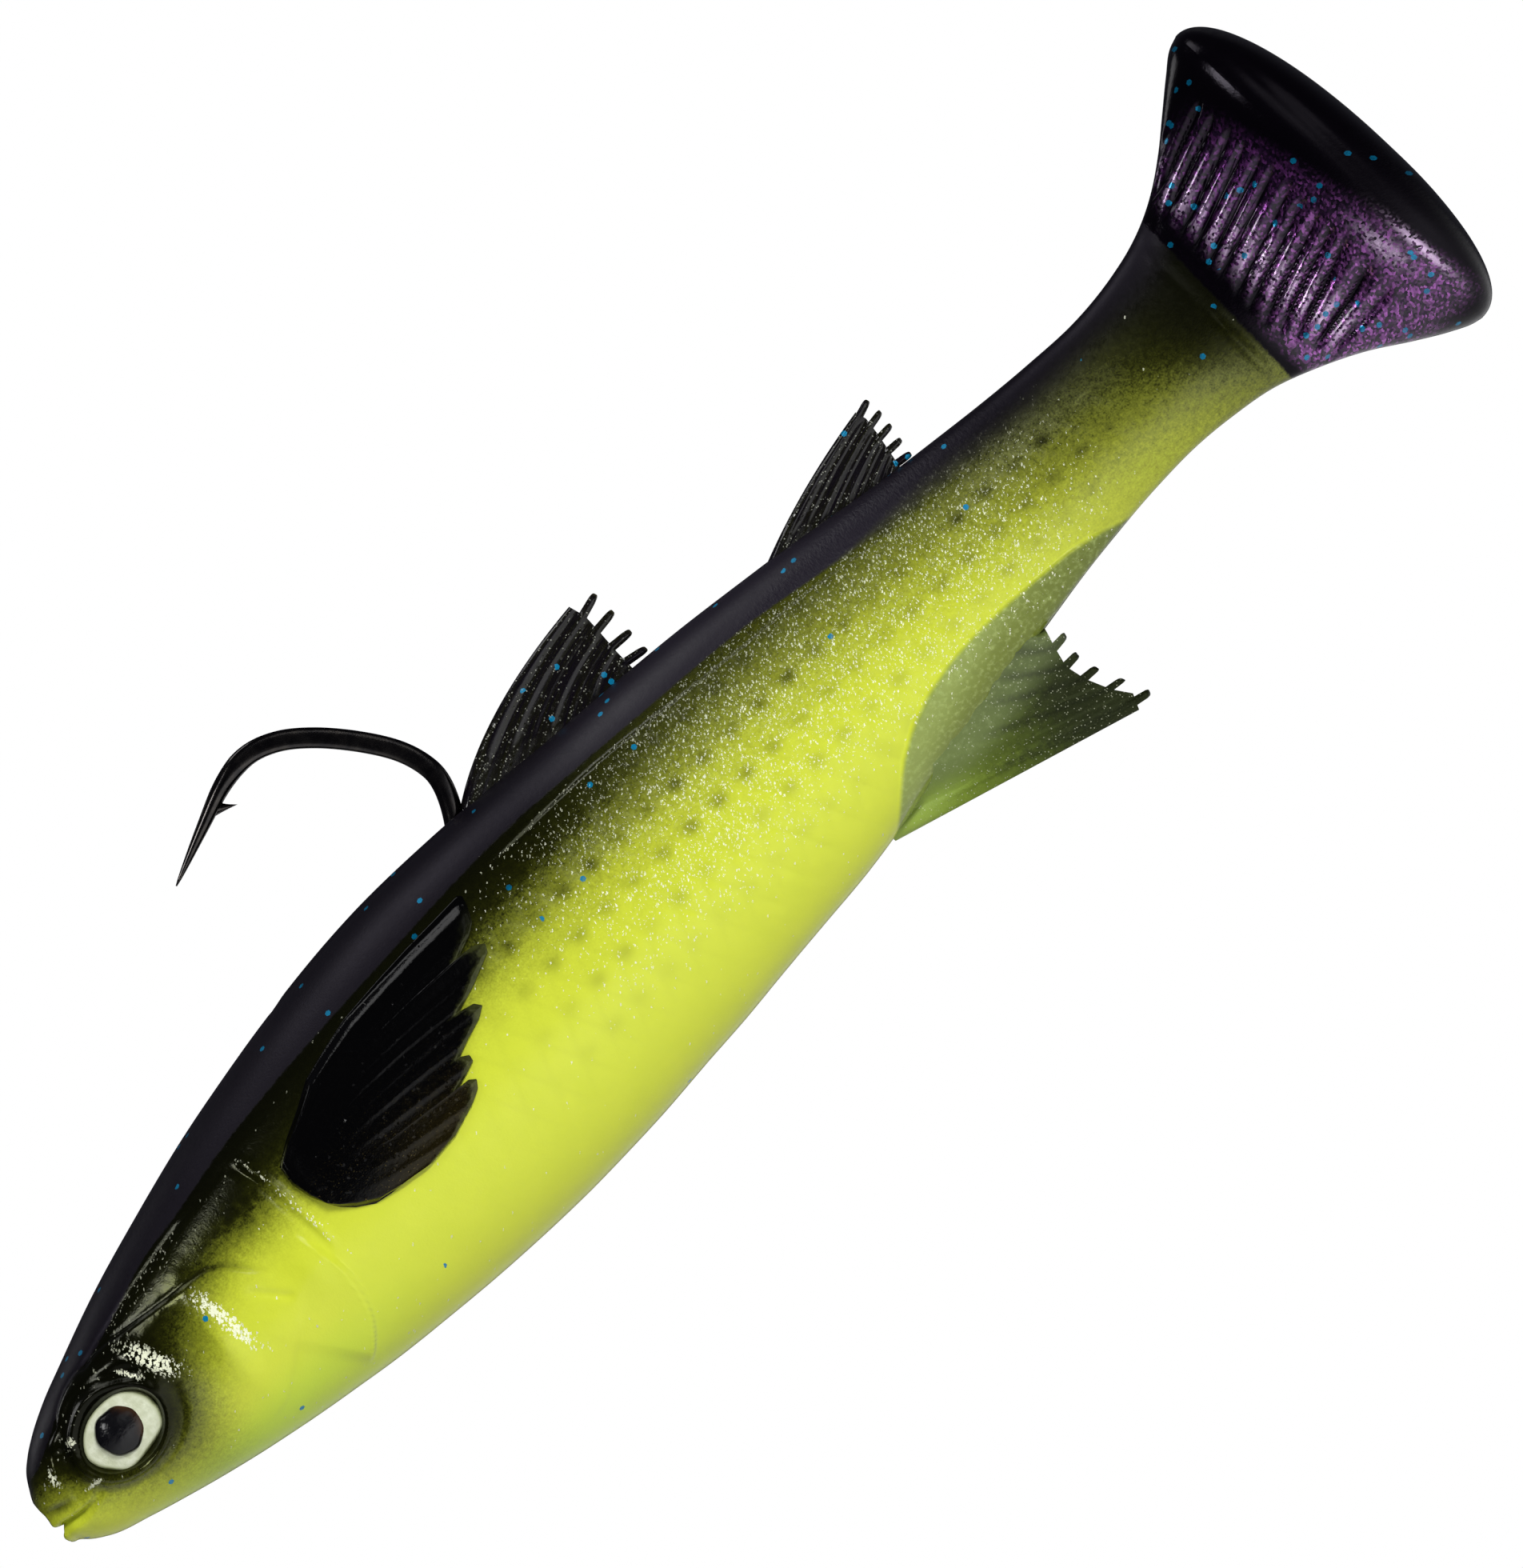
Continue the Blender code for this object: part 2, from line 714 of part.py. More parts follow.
first_dorsal_start = HOOK_EXIT_S + FIRST_DORSAL_BEHIND_HOOK
first_dorsal_end = first_dorsal_start + FIRST_DORSAL_LENGTH
bends = [
    first_dorsal_end + BEND_ROOM,
    OVERALL_LENGTH - SECOND_BEND_FROM_END,
    WRIST - WRIST_BEND_AHEAD,
]
pivots = [
    add_pivot(f"{name}_axis", on_fish(face + bend_radius(face), 0, 0))
    for name, face in zip(("middle", "rear", "tail"), bends)
]
zones = {
    "front": (add_cutter("front_zone", zone_mesh("front_zone", back=bends[0])), None),
    "middle": (add_cutter("middle_zone", zone_mesh("middle_zone", bends[0], bends[1])), pivots[0]),
    "rear": (add_cutter("rear_zone", zone_mesh("rear_zone", bends[1], bends[2])), pivots[1]),
}
above_seam = add_cutter("above_seam", seam_prism("above_seam", above=True))
below_seam = add_cutter("below_seam", seam_prism("below_seam", above=False))

pieces = {}
for zone, (zone_cutter, pivot) in zones.items():
    for pour, seam_cutter, material in (
        ("body", below_seam, BELLY_PLASTIC),
        ("back", above_seam, BACK_PLASTIC),
    ):
        name = f"{pour}_{zone}"
        pieces[name] = add_piece(name, body_form(name), material, pivot)
        cut_pour(pieces[name], "INTERSECT", zone_cutter)
        cut_pour(pieces[name], "INTERSECT", seam_cutter)

tail = add_piece("tail_paddle", body_form("tail_paddle"), TAIL_PLASTIC, pivots[2])
cut_pour(tail, "INTERSECT", add_cutter("tail_zone", zone_mesh("tail_zone", front=bends[2])))

# Hook and ballast, and the room for them in the front zone's two pours
hook = add_piece("jig_hook", hook_mesh(), HOOK_STEEL)
cut(hook, "UNION", add_cutter("barb", barb_mesh()))
wire_room = add_cutter("wire_room", wire_room_mesh())
ballast = add_piece("lead_ballast", loft(ballast_rings(0), "lead_ballast"), LEAD)
cut(ballast, "DIFFERENCE", wire_room)
ballast_room = add_cutter("ballast_room", loft(ballast_rings(GAP), "ballast_room"))
trench = add_cutter("ballast_trench", loft(ballast_trench_rings(2 * GAP), "ballast_trench"))
tongue = add_cutter("back_tongue", loft(tongue_rings(GAP), "back_tongue"))
tongue_limit = add_cutter("tongue_limit", body_form("tongue_limit"))
cut(tongue, "INTERSECT", tongue_limit)
back_slot = back_slot_cutter()

cut_pour(pieces["back_front"], "UNION", tongue)
for cutter in (ballast_room, wire_room, back_slot):
    cut_pour(pieces["back_front"], "DIFFERENCE", cutter)
for cutter in (trench, wire_room, back_slot, *pocket_cutters()):
    cut_pour(pieces["body_front"], "DIFFERENCE", cutter)

grown_body = add_cutter("grown_body", body_form("grown_body", GAP + PECTORAL_LIFT))
near_body = add_cutter("near_body", body_form("near_body", GAP))
for side, sign in (("left", -1), ("right", 1)):
    cut_pour(pieces["body_front"], "DIFFERENCE", eye_socket_cutter(side, sign))
    add_eye(side, sign)
    fin_mesh = pectoral_outline_mesh(side, sign)
    pectoral = add_piece(f"pectoral_fin_{side}", fin_mesh, FIN_PLASTIC)
    cut(pectoral, "INTERSECT", grown_body)
    cut(pectoral, "DIFFERENCE", near_body)

tip_along, tip_away = FIRST_DORSAL_TIP
bowed = (
    FIRST_DORSAL_BOW_AT * tip_along,
    FIRST_DORSAL_BOW_AT * tip_away + FIRST_DORSAL_BOW,
)
add_fin(
    "first_dorsal_fin",
    first_dorsal_start,
    FIRST_DORSAL_LENGTH,
    top_at,
    1,
    [(0, 0), bowed, FIRST_DORSAL_TIP],
    4,
    FIN_PLASTIC,
)
add_fin(
    "second_dorsal_fin",
    OVERALL_LENGTH - SECOND_DORSAL_FROM_END,
    SECOND_DORSAL_LENGTH,
    top_at,
    1,
    [(0, 0), SECOND_DORSAL_TIP],
    5,
    FIN_PLASTIC,
)
add_fin(
    "anal_fin",
    OVERALL_LENGTH - ANAL_FROM_END,
    ANAL_LENGTH,
    bottom_at,
    -1,
    [(0, 0), ANAL_TIP],
    5,
    ANAL_FIN_PLASTIC,
)

for part in PARTS.objects:
    if part.type == "MESH" and not part.name.startswith("eye"):
        smooth(part)
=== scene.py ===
"""Looks of the swimbait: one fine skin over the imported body, its fins, eyes and hook, paint and light.

Places on the fish are (s, y, h) in millimetres: s behind the snout, y to the right, h above the upper lip.
"""

import math

import bmesh
import bpy
import numpy as np
from mathutils import Matrix, Vector


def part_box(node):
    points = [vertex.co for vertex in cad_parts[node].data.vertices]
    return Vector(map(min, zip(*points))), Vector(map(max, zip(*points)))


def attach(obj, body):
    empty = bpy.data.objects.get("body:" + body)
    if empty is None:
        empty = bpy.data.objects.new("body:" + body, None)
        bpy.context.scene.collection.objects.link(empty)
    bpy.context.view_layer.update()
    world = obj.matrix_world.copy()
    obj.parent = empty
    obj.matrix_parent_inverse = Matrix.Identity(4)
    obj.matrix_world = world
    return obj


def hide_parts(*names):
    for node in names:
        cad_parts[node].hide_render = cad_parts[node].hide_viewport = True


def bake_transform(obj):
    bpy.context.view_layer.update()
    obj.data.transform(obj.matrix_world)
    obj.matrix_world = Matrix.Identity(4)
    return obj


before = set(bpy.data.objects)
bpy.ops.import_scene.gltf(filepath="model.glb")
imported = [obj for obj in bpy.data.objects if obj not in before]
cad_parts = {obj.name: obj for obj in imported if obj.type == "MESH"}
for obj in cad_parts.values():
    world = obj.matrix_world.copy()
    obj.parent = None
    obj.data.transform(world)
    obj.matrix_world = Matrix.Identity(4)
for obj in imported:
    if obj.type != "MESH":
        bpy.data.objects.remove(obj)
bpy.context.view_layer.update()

MM = 0.001
TIE_S = -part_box("body_front")[0][0] / MM  # the frame's origin is the hook's eye, this far behind the snout
TIE_H = -1.0
SECTION_POWER = 2.3
COLUMNS = 300


def box_middle(node):
    """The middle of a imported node's box, as (s, h)."""
    low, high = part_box(node)
    return (low[0] + high[0]) / 2 / MM + TIE_S, (low[2] + high[2]) / 2 / MM + TIE_H


# Curves and fields


def curve(points):
    """A smooth function through (x, value) points, flat past their ends."""
    xs, ys = np.array(points, float).T
    slopes = np.gradient(ys, xs)

    def value(x):
        x = np.clip(x, xs[0], xs[-1])
        i = np.clip(np.searchsorted(xs, x, side="right") - 1, 0, len(xs) - 2)
        w = xs[i + 1] - xs[i]
        t = (x - xs[i]) / w
        rise = (3 - 2 * t) * t * t
        lead = slopes[i] * (1 - t) - slopes[i + 1] * t
        return ys[i] + (ys[i + 1] - ys[i]) * rise + w * t * (1 - t) * lead

    return value


def step(x, low, high):
    t = np.clip((x - low) / (high - low), 0, 1)
    return t * t * (3 - 2 * t)


def bump(x, width):
    return np.exp(-((x / width) ** 2))


def smooth_line(points, per_span=6):
    """Points on a smooth line through the given ones."""
    points = np.array(points, float)
    ends = [2 * points[0] - points[1], 2 * points[-1] - points[-2]]
    padded = np.vstack([ends[:1], points, ends[1:]])
    out = []
    for a, b, c, d in zip(padded, padded[1:], padded[2:], padded[3:]):
        for t in np.arange(per_span) / per_span:
            out.append(b + 0.5 * t * (c - a + t * (2 * a - 5 * b + 4 * c - d + t * (3 * (b - c) + d - a))))
    return np.array([*out, points[-1]])


def line_field(s, h, points):
    """(signed distance, share along) of places to a line; positive on its left as it is followed."""
    line = smooth_line(points)
    low, high = line.min(0) - 6, line.max(0) + 6
    near = (s > low[0]) & (s < high[0]) & (h > low[1]) & (h < high[1])
    px, py = s[near], h[near]
    best = np.full(px.shape, 99.0)
    signed = np.full(px.shape, 99.0)
    along = np.zeros(px.shape)
    steps = np.linalg.norm(np.diff(line, axis=0), axis=1)
    starts = np.concatenate([[0], np.cumsum(steps)])
    for i, (a, b) in enumerate(zip(line, line[1:])):
        dx, dy = b - a
        t = np.clip(((px - a[0]) * dx + (py - a[1]) * dy) / max(dx * dx + dy * dy, 1e-9), 0, 1)
        ox, oy = px - a[0] - t * dx, py - a[1] - t * dy
        d = np.hypot(ox, oy)
        closer = d < best
        best = np.where(closer, d, best)
        signed = np.where(closer, np.where(dx * oy - dy * ox >= 0, d, -d), signed)
        along = np.where(closer, (starts[i] + t * steps[i]) / starts[-1], along)
    out_d = np.full(s.shape, 99.0)
    out_t = np.zeros(s.shape)
    out_d[near] = signed
    out_t[near] = along
    return out_d, out_t


def taper(t, start=0.12, end=0.12):
    return step(t, 0, start) * step(1 - t, 0, end)


def plate_edge(s, h, points, height, fade, soft=0.16, start=0.1, end=0.1):
    """A plate raised on the left of the line, which falls off at the line and sinks back over the fade."""
    d, t = line_field(s, h, points)
    lifted = step(d, -soft, soft) * np.exp(-np.clip(d, 0, None) / fade)
    return height * np.where(np.abs(d) < 90, lifted, 0) * taper(t, start, end)


def groove(s, h, points, depth, width, start=0.12, end=0.12):
    d, t = line_field(s, h, points)
    return -depth * bump(d, width) * taper(t, start, end)


def noise_field(u, v, size, seed):
    """Smooth noise from -1 to 1 with the given cell size."""
    table = np.random.default_rng(seed).random((257, 257)) * 2 - 1
    a, b = u / size, v / size
    i, j = np.floor(a).astype(int), np.floor(b).astype(int)
    fa, fb = a - i, b - j
    fa, fb = fa * fa * (3 - 2 * fa), fb * fb * (3 - 2 * fb)
    i0, j0, i1, j1 = i % 256, j % 256, (i + 1) % 256, (j + 1) % 256
    top = table[i0, j0] * (1 - fa) + table[i1, j0] * fa
    low = table[i0, j1] * (1 - fa) + table[i1, j1] * fa
    return top * (1 - fb) + low * fb


def frame_place(s, y, h):
    """The row frame's metres of places on the fish."""
    return np.stack([s - TIE_S, y + 0 * s, h - TIE_H], -1) * MM


def spot_at(s, h):
    return tuple(float(v) for v in frame_place(np.float64(s), 0.0, h))


# The body's outline, in (s, h) and (s, half width)

TOP = curve([
    (0, 1.1), (0.12, 1.4), (0.5, 2.06), (1, 2.8), (2, 3.7), (3, 4.34), (5, 5.34), (8, 6.45), (12, 7.83),
    (18, 9.5), (24, 10.9), (31, 12.1), (37, 12.85), (43, 13.17), (50, 12.9), (60, 11.9), (69, 11.0),
    (78, 9.7), (88.5, 7.8), (94, 7.0), (100, 6.3), (104, 6.03), (108, 6.35), (110, 6.77), (112, 7.46),
    (114, 8.46), (116, 9.79), (118, 11.37), (120, 12.96), (121.4, 14.0), (122.4, 14.34),
])
BOTTOM = curve([
    (0, -2.2), (0.12, -2.34), (0.5, -2.55), (1, -3.05), (2, -3.76), (5, -4.92), (8, -5.87), (12, -6.98),
    (18, -8.36), (24, -9.4), (31, -10.26), (43, -10.9), (53, -10.5), (62, -9.9), (69, -9.36), (78, -8.1),
    (88.5, -6.6), (94, -5.9), (100, -5.5), (104, -5.5), (107, -5.85), (110, -6.45), (113, -7.62),
    (116, -9.15), (119, -11.11), (121, -12.33), (122.3, -12.98), (123, -13.17),
])
HALF = curve([
    (0, 2.4), (0.5, 3.0), (2, 4.0), (5, 5.1), (8, 5.85), (12, 6.6), (20, 7.6), (30, 8.2), (43, 8.4),
    (53, 7.9), (62, 7.2), (75, 5.7), (90, 3.7), (98, 2.85), (104, 2.4), (110, 2.45), (113, 2.6), (116, 2.9),
    (118, 3.4), (119, 3.85), (120, 4.45), (121, 5.15), (122, 5.8), (123, 6.12), (123.6, 6.2),
])
TAIL_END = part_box("tail_paddle")[1][0] / MM + TIE_S - 0.03
TAIL_END_H = -1.0


def rounded_end(s, start, power):
    x = np.clip((s - start) / (TAIL_END - start), 0, 1)
    return (1 - x**power) ** (1 / power)


def section_sizes(s):
    """(centre height, half height, half width) of the section at s, with the tail's rounded end."""
    top = TAIL_END_H + (TOP(s) - TAIL_END_H) * rounded_end(s, 122.4, 2.1)
    low = TAIL_END_H + (BOTTOM(s) - TAIL_END_H) * rounded_end(s, 123.0, 2.4)
    return (top + low) / 2, (top - low) / 2, HALF(s) * rounded_end(s, 123.6, 2.6)


def flank_y(s, h):
    """How far the flank stands from the middle plane."""
    c, b, a = section_sizes(s)
    x = np.clip(np.abs((h - c) / b), 0, 1)
    return a * (1 - x**SECTION_POWER) ** (1 / SECTION_POWER)


# Lines of the head and body, in (s, h)

BROW = [
    (3.26, 2.47), (3.7, 3.09), (4.9, 3.6), (6.0, 4.4), (7.05, 4.94), (8.3, 5.2), (9.1, 5.03), (10.05, 5.2),
    (11.8, 5.03), (14.5, 4.58), (17.1, 4.14), (18.9, 3.88), (19.75, 3.53), (20.6, 2.82), (21.3, 1.76),
    (22.0, 0.88), (22.75, 0.35),
]
CHEEK_CREASE = [(20.1, 0.8), (20.7, 0.2), (21.3, -0.53), (22.3, -1.76)]
PREOPERCLE = [(22.3, -1.76), (21.5, -2.8), (20.3, -3.7), (18.5, -4.94), (16.75, -6.0), (14.5, -6.3)]
OPERCULUM = [
    (24.9, 1.6), (25.57, -1.06), (25.7, -2.8), (25.4, -4.6), (24.7, -6.2), (23.6, -7.4), (22.2, -8.4),
]
SHOULDER = [(25.8, 7.6), (26.1, 6.5), (26.4, 4.76), (26.5, 2.3), (26.6, -0.18), (26.4, -1.6)]
CROWN_GROOVE = [(8.6, 5.25), (9.35, 5.38), (12.5, 5.99), (15.3, 6.52), (18.2, 6.96), (21.0, 7.3)]
CROWN_EDGE = [(10.4, 5.25), (14.5, 5.95), (18.9, 6.75), (22.4, 7.2), (25.4, 7.6)]
SNOUT_EDGE = [(3.5, 2.8), (2.75, 1.24), (2.4, -0.18), (2.1, -1.15)]
MOUTH = curve([(0, -1.24), (0.6, -1.3), (1.8, -1.58), (3.9, -1.5)])
SCALE_EDGE = [
    (49, 8.75), (52.4, 8.75), (61.2, 8.35), (67, 7.6), (73.7, 6.75), (78.3, 6.3), (83.6, 5.4), (87.1, 4.85),
    (90.6, 4.4), (95, 4.0),
]
LOBE_TOP = curve([
    (70, -9.8), (71.6, -9.0), (73, -7.85), (74.8, -6.35), (76.5, -5.3), (79.2, -4.2), (81.8, -3.7),
    (84.5, -3.56), (88, -3.7), (90.6, -3.97), (93.3, -4.3), (95.6, -4.9), (97.4, -5.6), (99, -6.4),
])
PURPLE_LOW = curve([
    (0, 0.9), (0.5, 1.95), (2.1, 2.65), (3.7, 3.35), (6, 4.4), (8.3, 5.2), (10, 5.4), (12.5, 6.05),
    (17.1, 7.3), (20.6, 7.76), (25.4, 8.55), (32.9, 9.2), (40.5, 9.5), (55.6, 9.6), (60, 9.2), (67, 8.5),
    (74.4, 7.7), (81.8, 6.3), (90.6, 4.9), (97.3, 4.2), (104, 4.2), (110, 4.6), (113, 5.6),
])
OLIVE_MID = curve([
    (0, 0.0), (2.5, -0.5), (4, -1.3), (6.5, -2.7), (9, -4.1), (11, -4.6), (13, -3.4), (15, -1.0), (17, 1.2),
    (20, 2.67), (24, 2.7), (30, 3.0), (40, 3.5), (60, 3.55), (70, 3.4), (80, 2.5), (90, 0.4), (95, -1.6),
    (98, -2.9), (101, -4.0), (104, -5.2), (107, -6.7), (110, -8.4), (113, -10.0),
])
OLIVE_RATE = curve([
    (0, 1.3), (3, 1.2), (10, 0.8), (14, 0.6), (17, 0.9), (20, 1.2), (26, 1.1), (50, 0.85), (80, 0.6),
    (95, 0.38), (104, 0.38), (110, 0.5),
])
# soft forms of the cheek: place, size, lean, height
CHEEK_FORMS = (
    ((16.9, 0.4), (0.95, 3.0), 0.13, 0.6), ((11.9, 2.0), (0.85, 2.2), -0.2, 0.52),
    ((24.2, -0.8), (1.0, 2.4), 0.0, 0.16), ((14.3, -1.5), (1.2, 2.6), 0.1, -0.12),
)
EYE = box_middle("eye_ring_left")[0], box_middle("eye_ring_left")[1] + 0.02
PUPIL = EYE[0] + 0.05, EYE[1] + 0.11
EYE_RADII = (3.0, 2.35)
COLLAR_S = 110.85
TAIL_S = 111.7
SCALE_LONG = 2.55
SCALE_ROW = 2.85
SLOT_DEPTH = 4.2
UV_MARGIN = 0.002
MOUTH_DEPTH = 3.6


def nostril_turn(s, h):
    """(along, across) from the nostril's middle, along its slanted length."""
    return (s - 1.15) * 0.94 - (h + 0.18) * 0.34, (s - 1.15) * 0.34 + (h + 0.18) * 0.94


def scale_net(along, across):
    """0 on the lines between the scales to 1 in their middles."""
    lean = across / 2
    return np.abs(np.sin(math.pi * (along + lean + 0.25))) * np.abs(np.sin(math.pi * (along - lean + 0.25)))


def patch(s, h, place, size, lean=0.0, power=2):
    """1 in the middle of a leaning patch, fading out to its size."""
    away = (s - place[0] - lean * (h - place[1])) / size[0]
    return np.exp(-(away**power) - ((h - place[1]) / size[1]) ** power)


def eye_radius(s, h):
    return np.hypot((s - EYE[0]) / EYE_RADII[0], (h - EYE[1]) / EYE_RADII[1])


def flute_height(s, h):
    """The place of a flute's line on the wrist side of the tail: flutes rise and fan out to the rear."""
    rise = 2.1 - 1.9 * step(-h, 3.0, 8.5)
    t = np.clip((s - 113.9) / 6.4, -0.3, 1.2)
    return h - rise * t


def scale_rows(s, h):
    """(along, across) in scales, with the rows sinking a little towards the tail."""
    sink = 0.045 * np.clip(s - 53, 0, None) + 0.0008 * np.clip(s - 70, 0, None) ** 2
    return (s - 53.6) / SCALE_LONG, (h + sink * step(h, -8, 6) - 4.2) / SCALE_ROW


def flutes(s, h):
    """(reach, wave): where the tail's flutes run, and 1 on a ridge to 0 in a groove."""
    line = flute_height(s, h)
    wave = np.abs(np.sin(math.pi * (line / 1.32 + 0.12 * noise_field(s * 0, line, 1.32, 31))))
    reach = step(s, 112.2 + 0.08 * np.abs(line), 114.6 + 0.12 * np.abs(line))
    reach = reach * (1 - step(s, 119.0, 120.8 + 0.03 * line))
    return reach * step(line, -8.6, -7.2) * (1 - step(line, 8.4, 9.6)), wave


def relief(s, h, side):
    """Height of the skin over the plain section, in millimetres."""
    d = np.zeros(s.shape)
    # mouth, lips and nostril
    mouth_fade = 1 - step(s, 1.2, 4.2)
    d -= 0.62 * bump(h - MOUTH(s), 0.26) * mouth_fade
    d += 0.16 * bump(h - MOUTH(s) + 0.62, 0.42) * bump(s, 2.4)
    d += 0.10 * bump(h - MOUTH(s) - 0.55, 0.35) * bump(s, 3.0)
    turn = nostril_turn(s, h)
    d -= 0.22 * np.exp(-((turn[0] / 0.85) ** 2) - (turn[1] / 0.3) ** 2)
    d += side * plate_edge(s, h, SNOUT_EDGE, -0.16, 1.6)
    # head plates
    d += side * plate_edge(s, h, [*reversed(BROW)], 0.2, 2.6, soft=0.2, start=0.12, end=0.06)
    d += side * groove(s, h, BROW, 0.1, 0.25)
    d += side * groove(s, h, CHEEK_CREASE, 0.12, 0.28, end=0.2)
    d += side * plate_edge(s, h, [*reversed(PREOPERCLE)], 0.12, 2.0, soft=0.2, start=0.3, end=0.3)
    d += side * plate_edge(s, h, [*reversed(OPERCULUM)], 0.32, 3.0, soft=0.13, end=0.25)
    d += side * groove(s, h, OPERCULUM, -0.1, 0.14)
    shoulder = groove(s, h, SHOULDER, -0.22, 0.28, end=0.25)
    d += side * (shoulder + groove(s + 0.55, h, SHOULDER, 0.12, 0.25))
    d += side * groove(s, h, CROWN_GROOVE, 0.09, 0.2, start=0.05)
    d += side * plate_edge(s, h, CROWN_EDGE, -0.05, 1.0, soft=0.16)
    # soft forms of the cheek
    for place, size, lean, up in CHEEK_FORMS:
        d += side * up * patch(s, h, place, size, lean)
    d += side * 0.022 * noise_field(s * 3.2, h * 2.4, 1.0, 9) * bump(s - 16, 6.5) * bump(h - 1, 4)
    # eye socket, its rim and the brow's dome
    r = eye_radius(s, h)
    d += side * (0.42 * bump(r - 1.17, 0.11) - 0.2 * bump(r - 1.5, 0.14) - 0.75 * (1 - step(r, 0.92, 1.06)))
    d += side * 0.5 * patch(s, h, (8.2, 3.7), (2.6, 0.85))
    # scales
    along, across = scale_rows(s, h)
    net = scale_net(along, across)
    field = step(s, 27, 36) * (1 - step(s, 100, 109)) * step(h, -9.5, -3.5)
    edge, _ = line_field(s, h, SCALE_EDGE)
    above = np.where(s < 96, np.where(edge < 90, edge, np.where(h > 2, 5.0, -5.0)), h - 4)
    below_edge = 1 - step(above, -0.5, 0.3)
    strong = step(s, 52, 64) * (1 - step(s, 84, 96))
    d += side * field * below_edge * (0.03 + 0.07 * strong) * (np.sqrt(net) - 0.5)
    rough = 0.035 * noise_field(s * 1.3, h, 1.1, 3) + 0.03 * noise_field(s * 1.6, h, 0.55, 4)
    d += side * field * below_edge * strong * rough
    d += side * plate_edge(s, h, [*reversed(SCALE_EDGE)], 0.2, 2.2, soft=0.14, start=0.3, end=0.2)
    d += side * groove(s, h, SCALE_EDGE, -0.045, 0.16, start=0.08, end=0.4)
    # the lobe at the anal fin's foot
    lobe = LOBE_TOP(s) - h
    d += side * 0.3 * step(lobe, -0.16, 0.2) * step(s, 70.5, 74) * (1 - step(s, 93, 99)) * step(h, -14, -4)
    # the wrist's collar and the tail
    tall = step(h, -8, -5) * (1 - step(h, 4, 9))
    collar = tall * (0.03 + 0.24 * step(h, -6.5, -5) * (1 - step(h, -2.2, 0.5)))
    d += side * collar * (bump(s - COLLAR_S + 0.25, 0.3) - 0.5 * bump(s - COLLAR_S - 0.5, 0.3))
    reach, wave = flutes(s, h)
    d -= side * 0.55 * reach * (1 - wave) ** 1.2
    d -= side * 0.12 * bump(s - 124.1, 0.5) * step(h, -11.5, -8) * (1 - step(h, 8, 12))
    d += 0.03 * noise_field(s, h, 4.0, 8) * step(s, 3, 8)
    return d


# The skin


def ring_places():
    """(s, scale) of each ring from the snout's middle to the tail's."""
    rings = [(0.1 * rho**4, rho) for rho in np.linspace(0.04, 1, 24)]
    s = 0.1
    while s < 122.4:
        s += 0.05 + 0.162 * float(step(s, 0, 2.5)) - 0.04 * float(step(s, 109, 112))
        rings.append((min(s, 122.4), 1.0))
    rings += [(122.4 + (TAIL_END - 122.4) * math.sin(a), 1.0) for a in np.linspace(0, math.pi / 2, 46)[1:-1]]
    return np.array(rings)


def skin_grid():
    rings = ring_places()
    s = np.repeat(rings[:, :1], COLUMNS, 1)
    scale = rings[:, 1:]
    angle = np.linspace(0, 2 * math.pi, COLUMNS, endpoint=False)[None, :]
    c, b, a = section_sizes(s)
    power = 2 / SECTION_POWER
    y = scale * a * np.sign(np.cos(angle)) * np.abs(np.cos(angle)) ** power
    h = c + scale * b * np.sign(np.sin(angle)) * np.abs(np.sin(angle)) ** power
    return np.stack([s, y, h], -1)


def grid_normals(p):
    """Outward normals of the ring grid."""
    down = np.gradient(p, axis=0)
    round_ = np.roll(p, -1, 1) - np.roll(p, 1, 1)
    n = np.cross(round_, down)
    n /= np.maximum(np.linalg.norm(n, axis=-1, keepdims=True), 1e-12)
    centre = p.mean(1, keepdims=True)
    if ((p - centre) * n).sum() < 0:
        n = -n
    n[0] = (-1, 0, 0)
    n[-1] = (1, 0, 0)
    return n


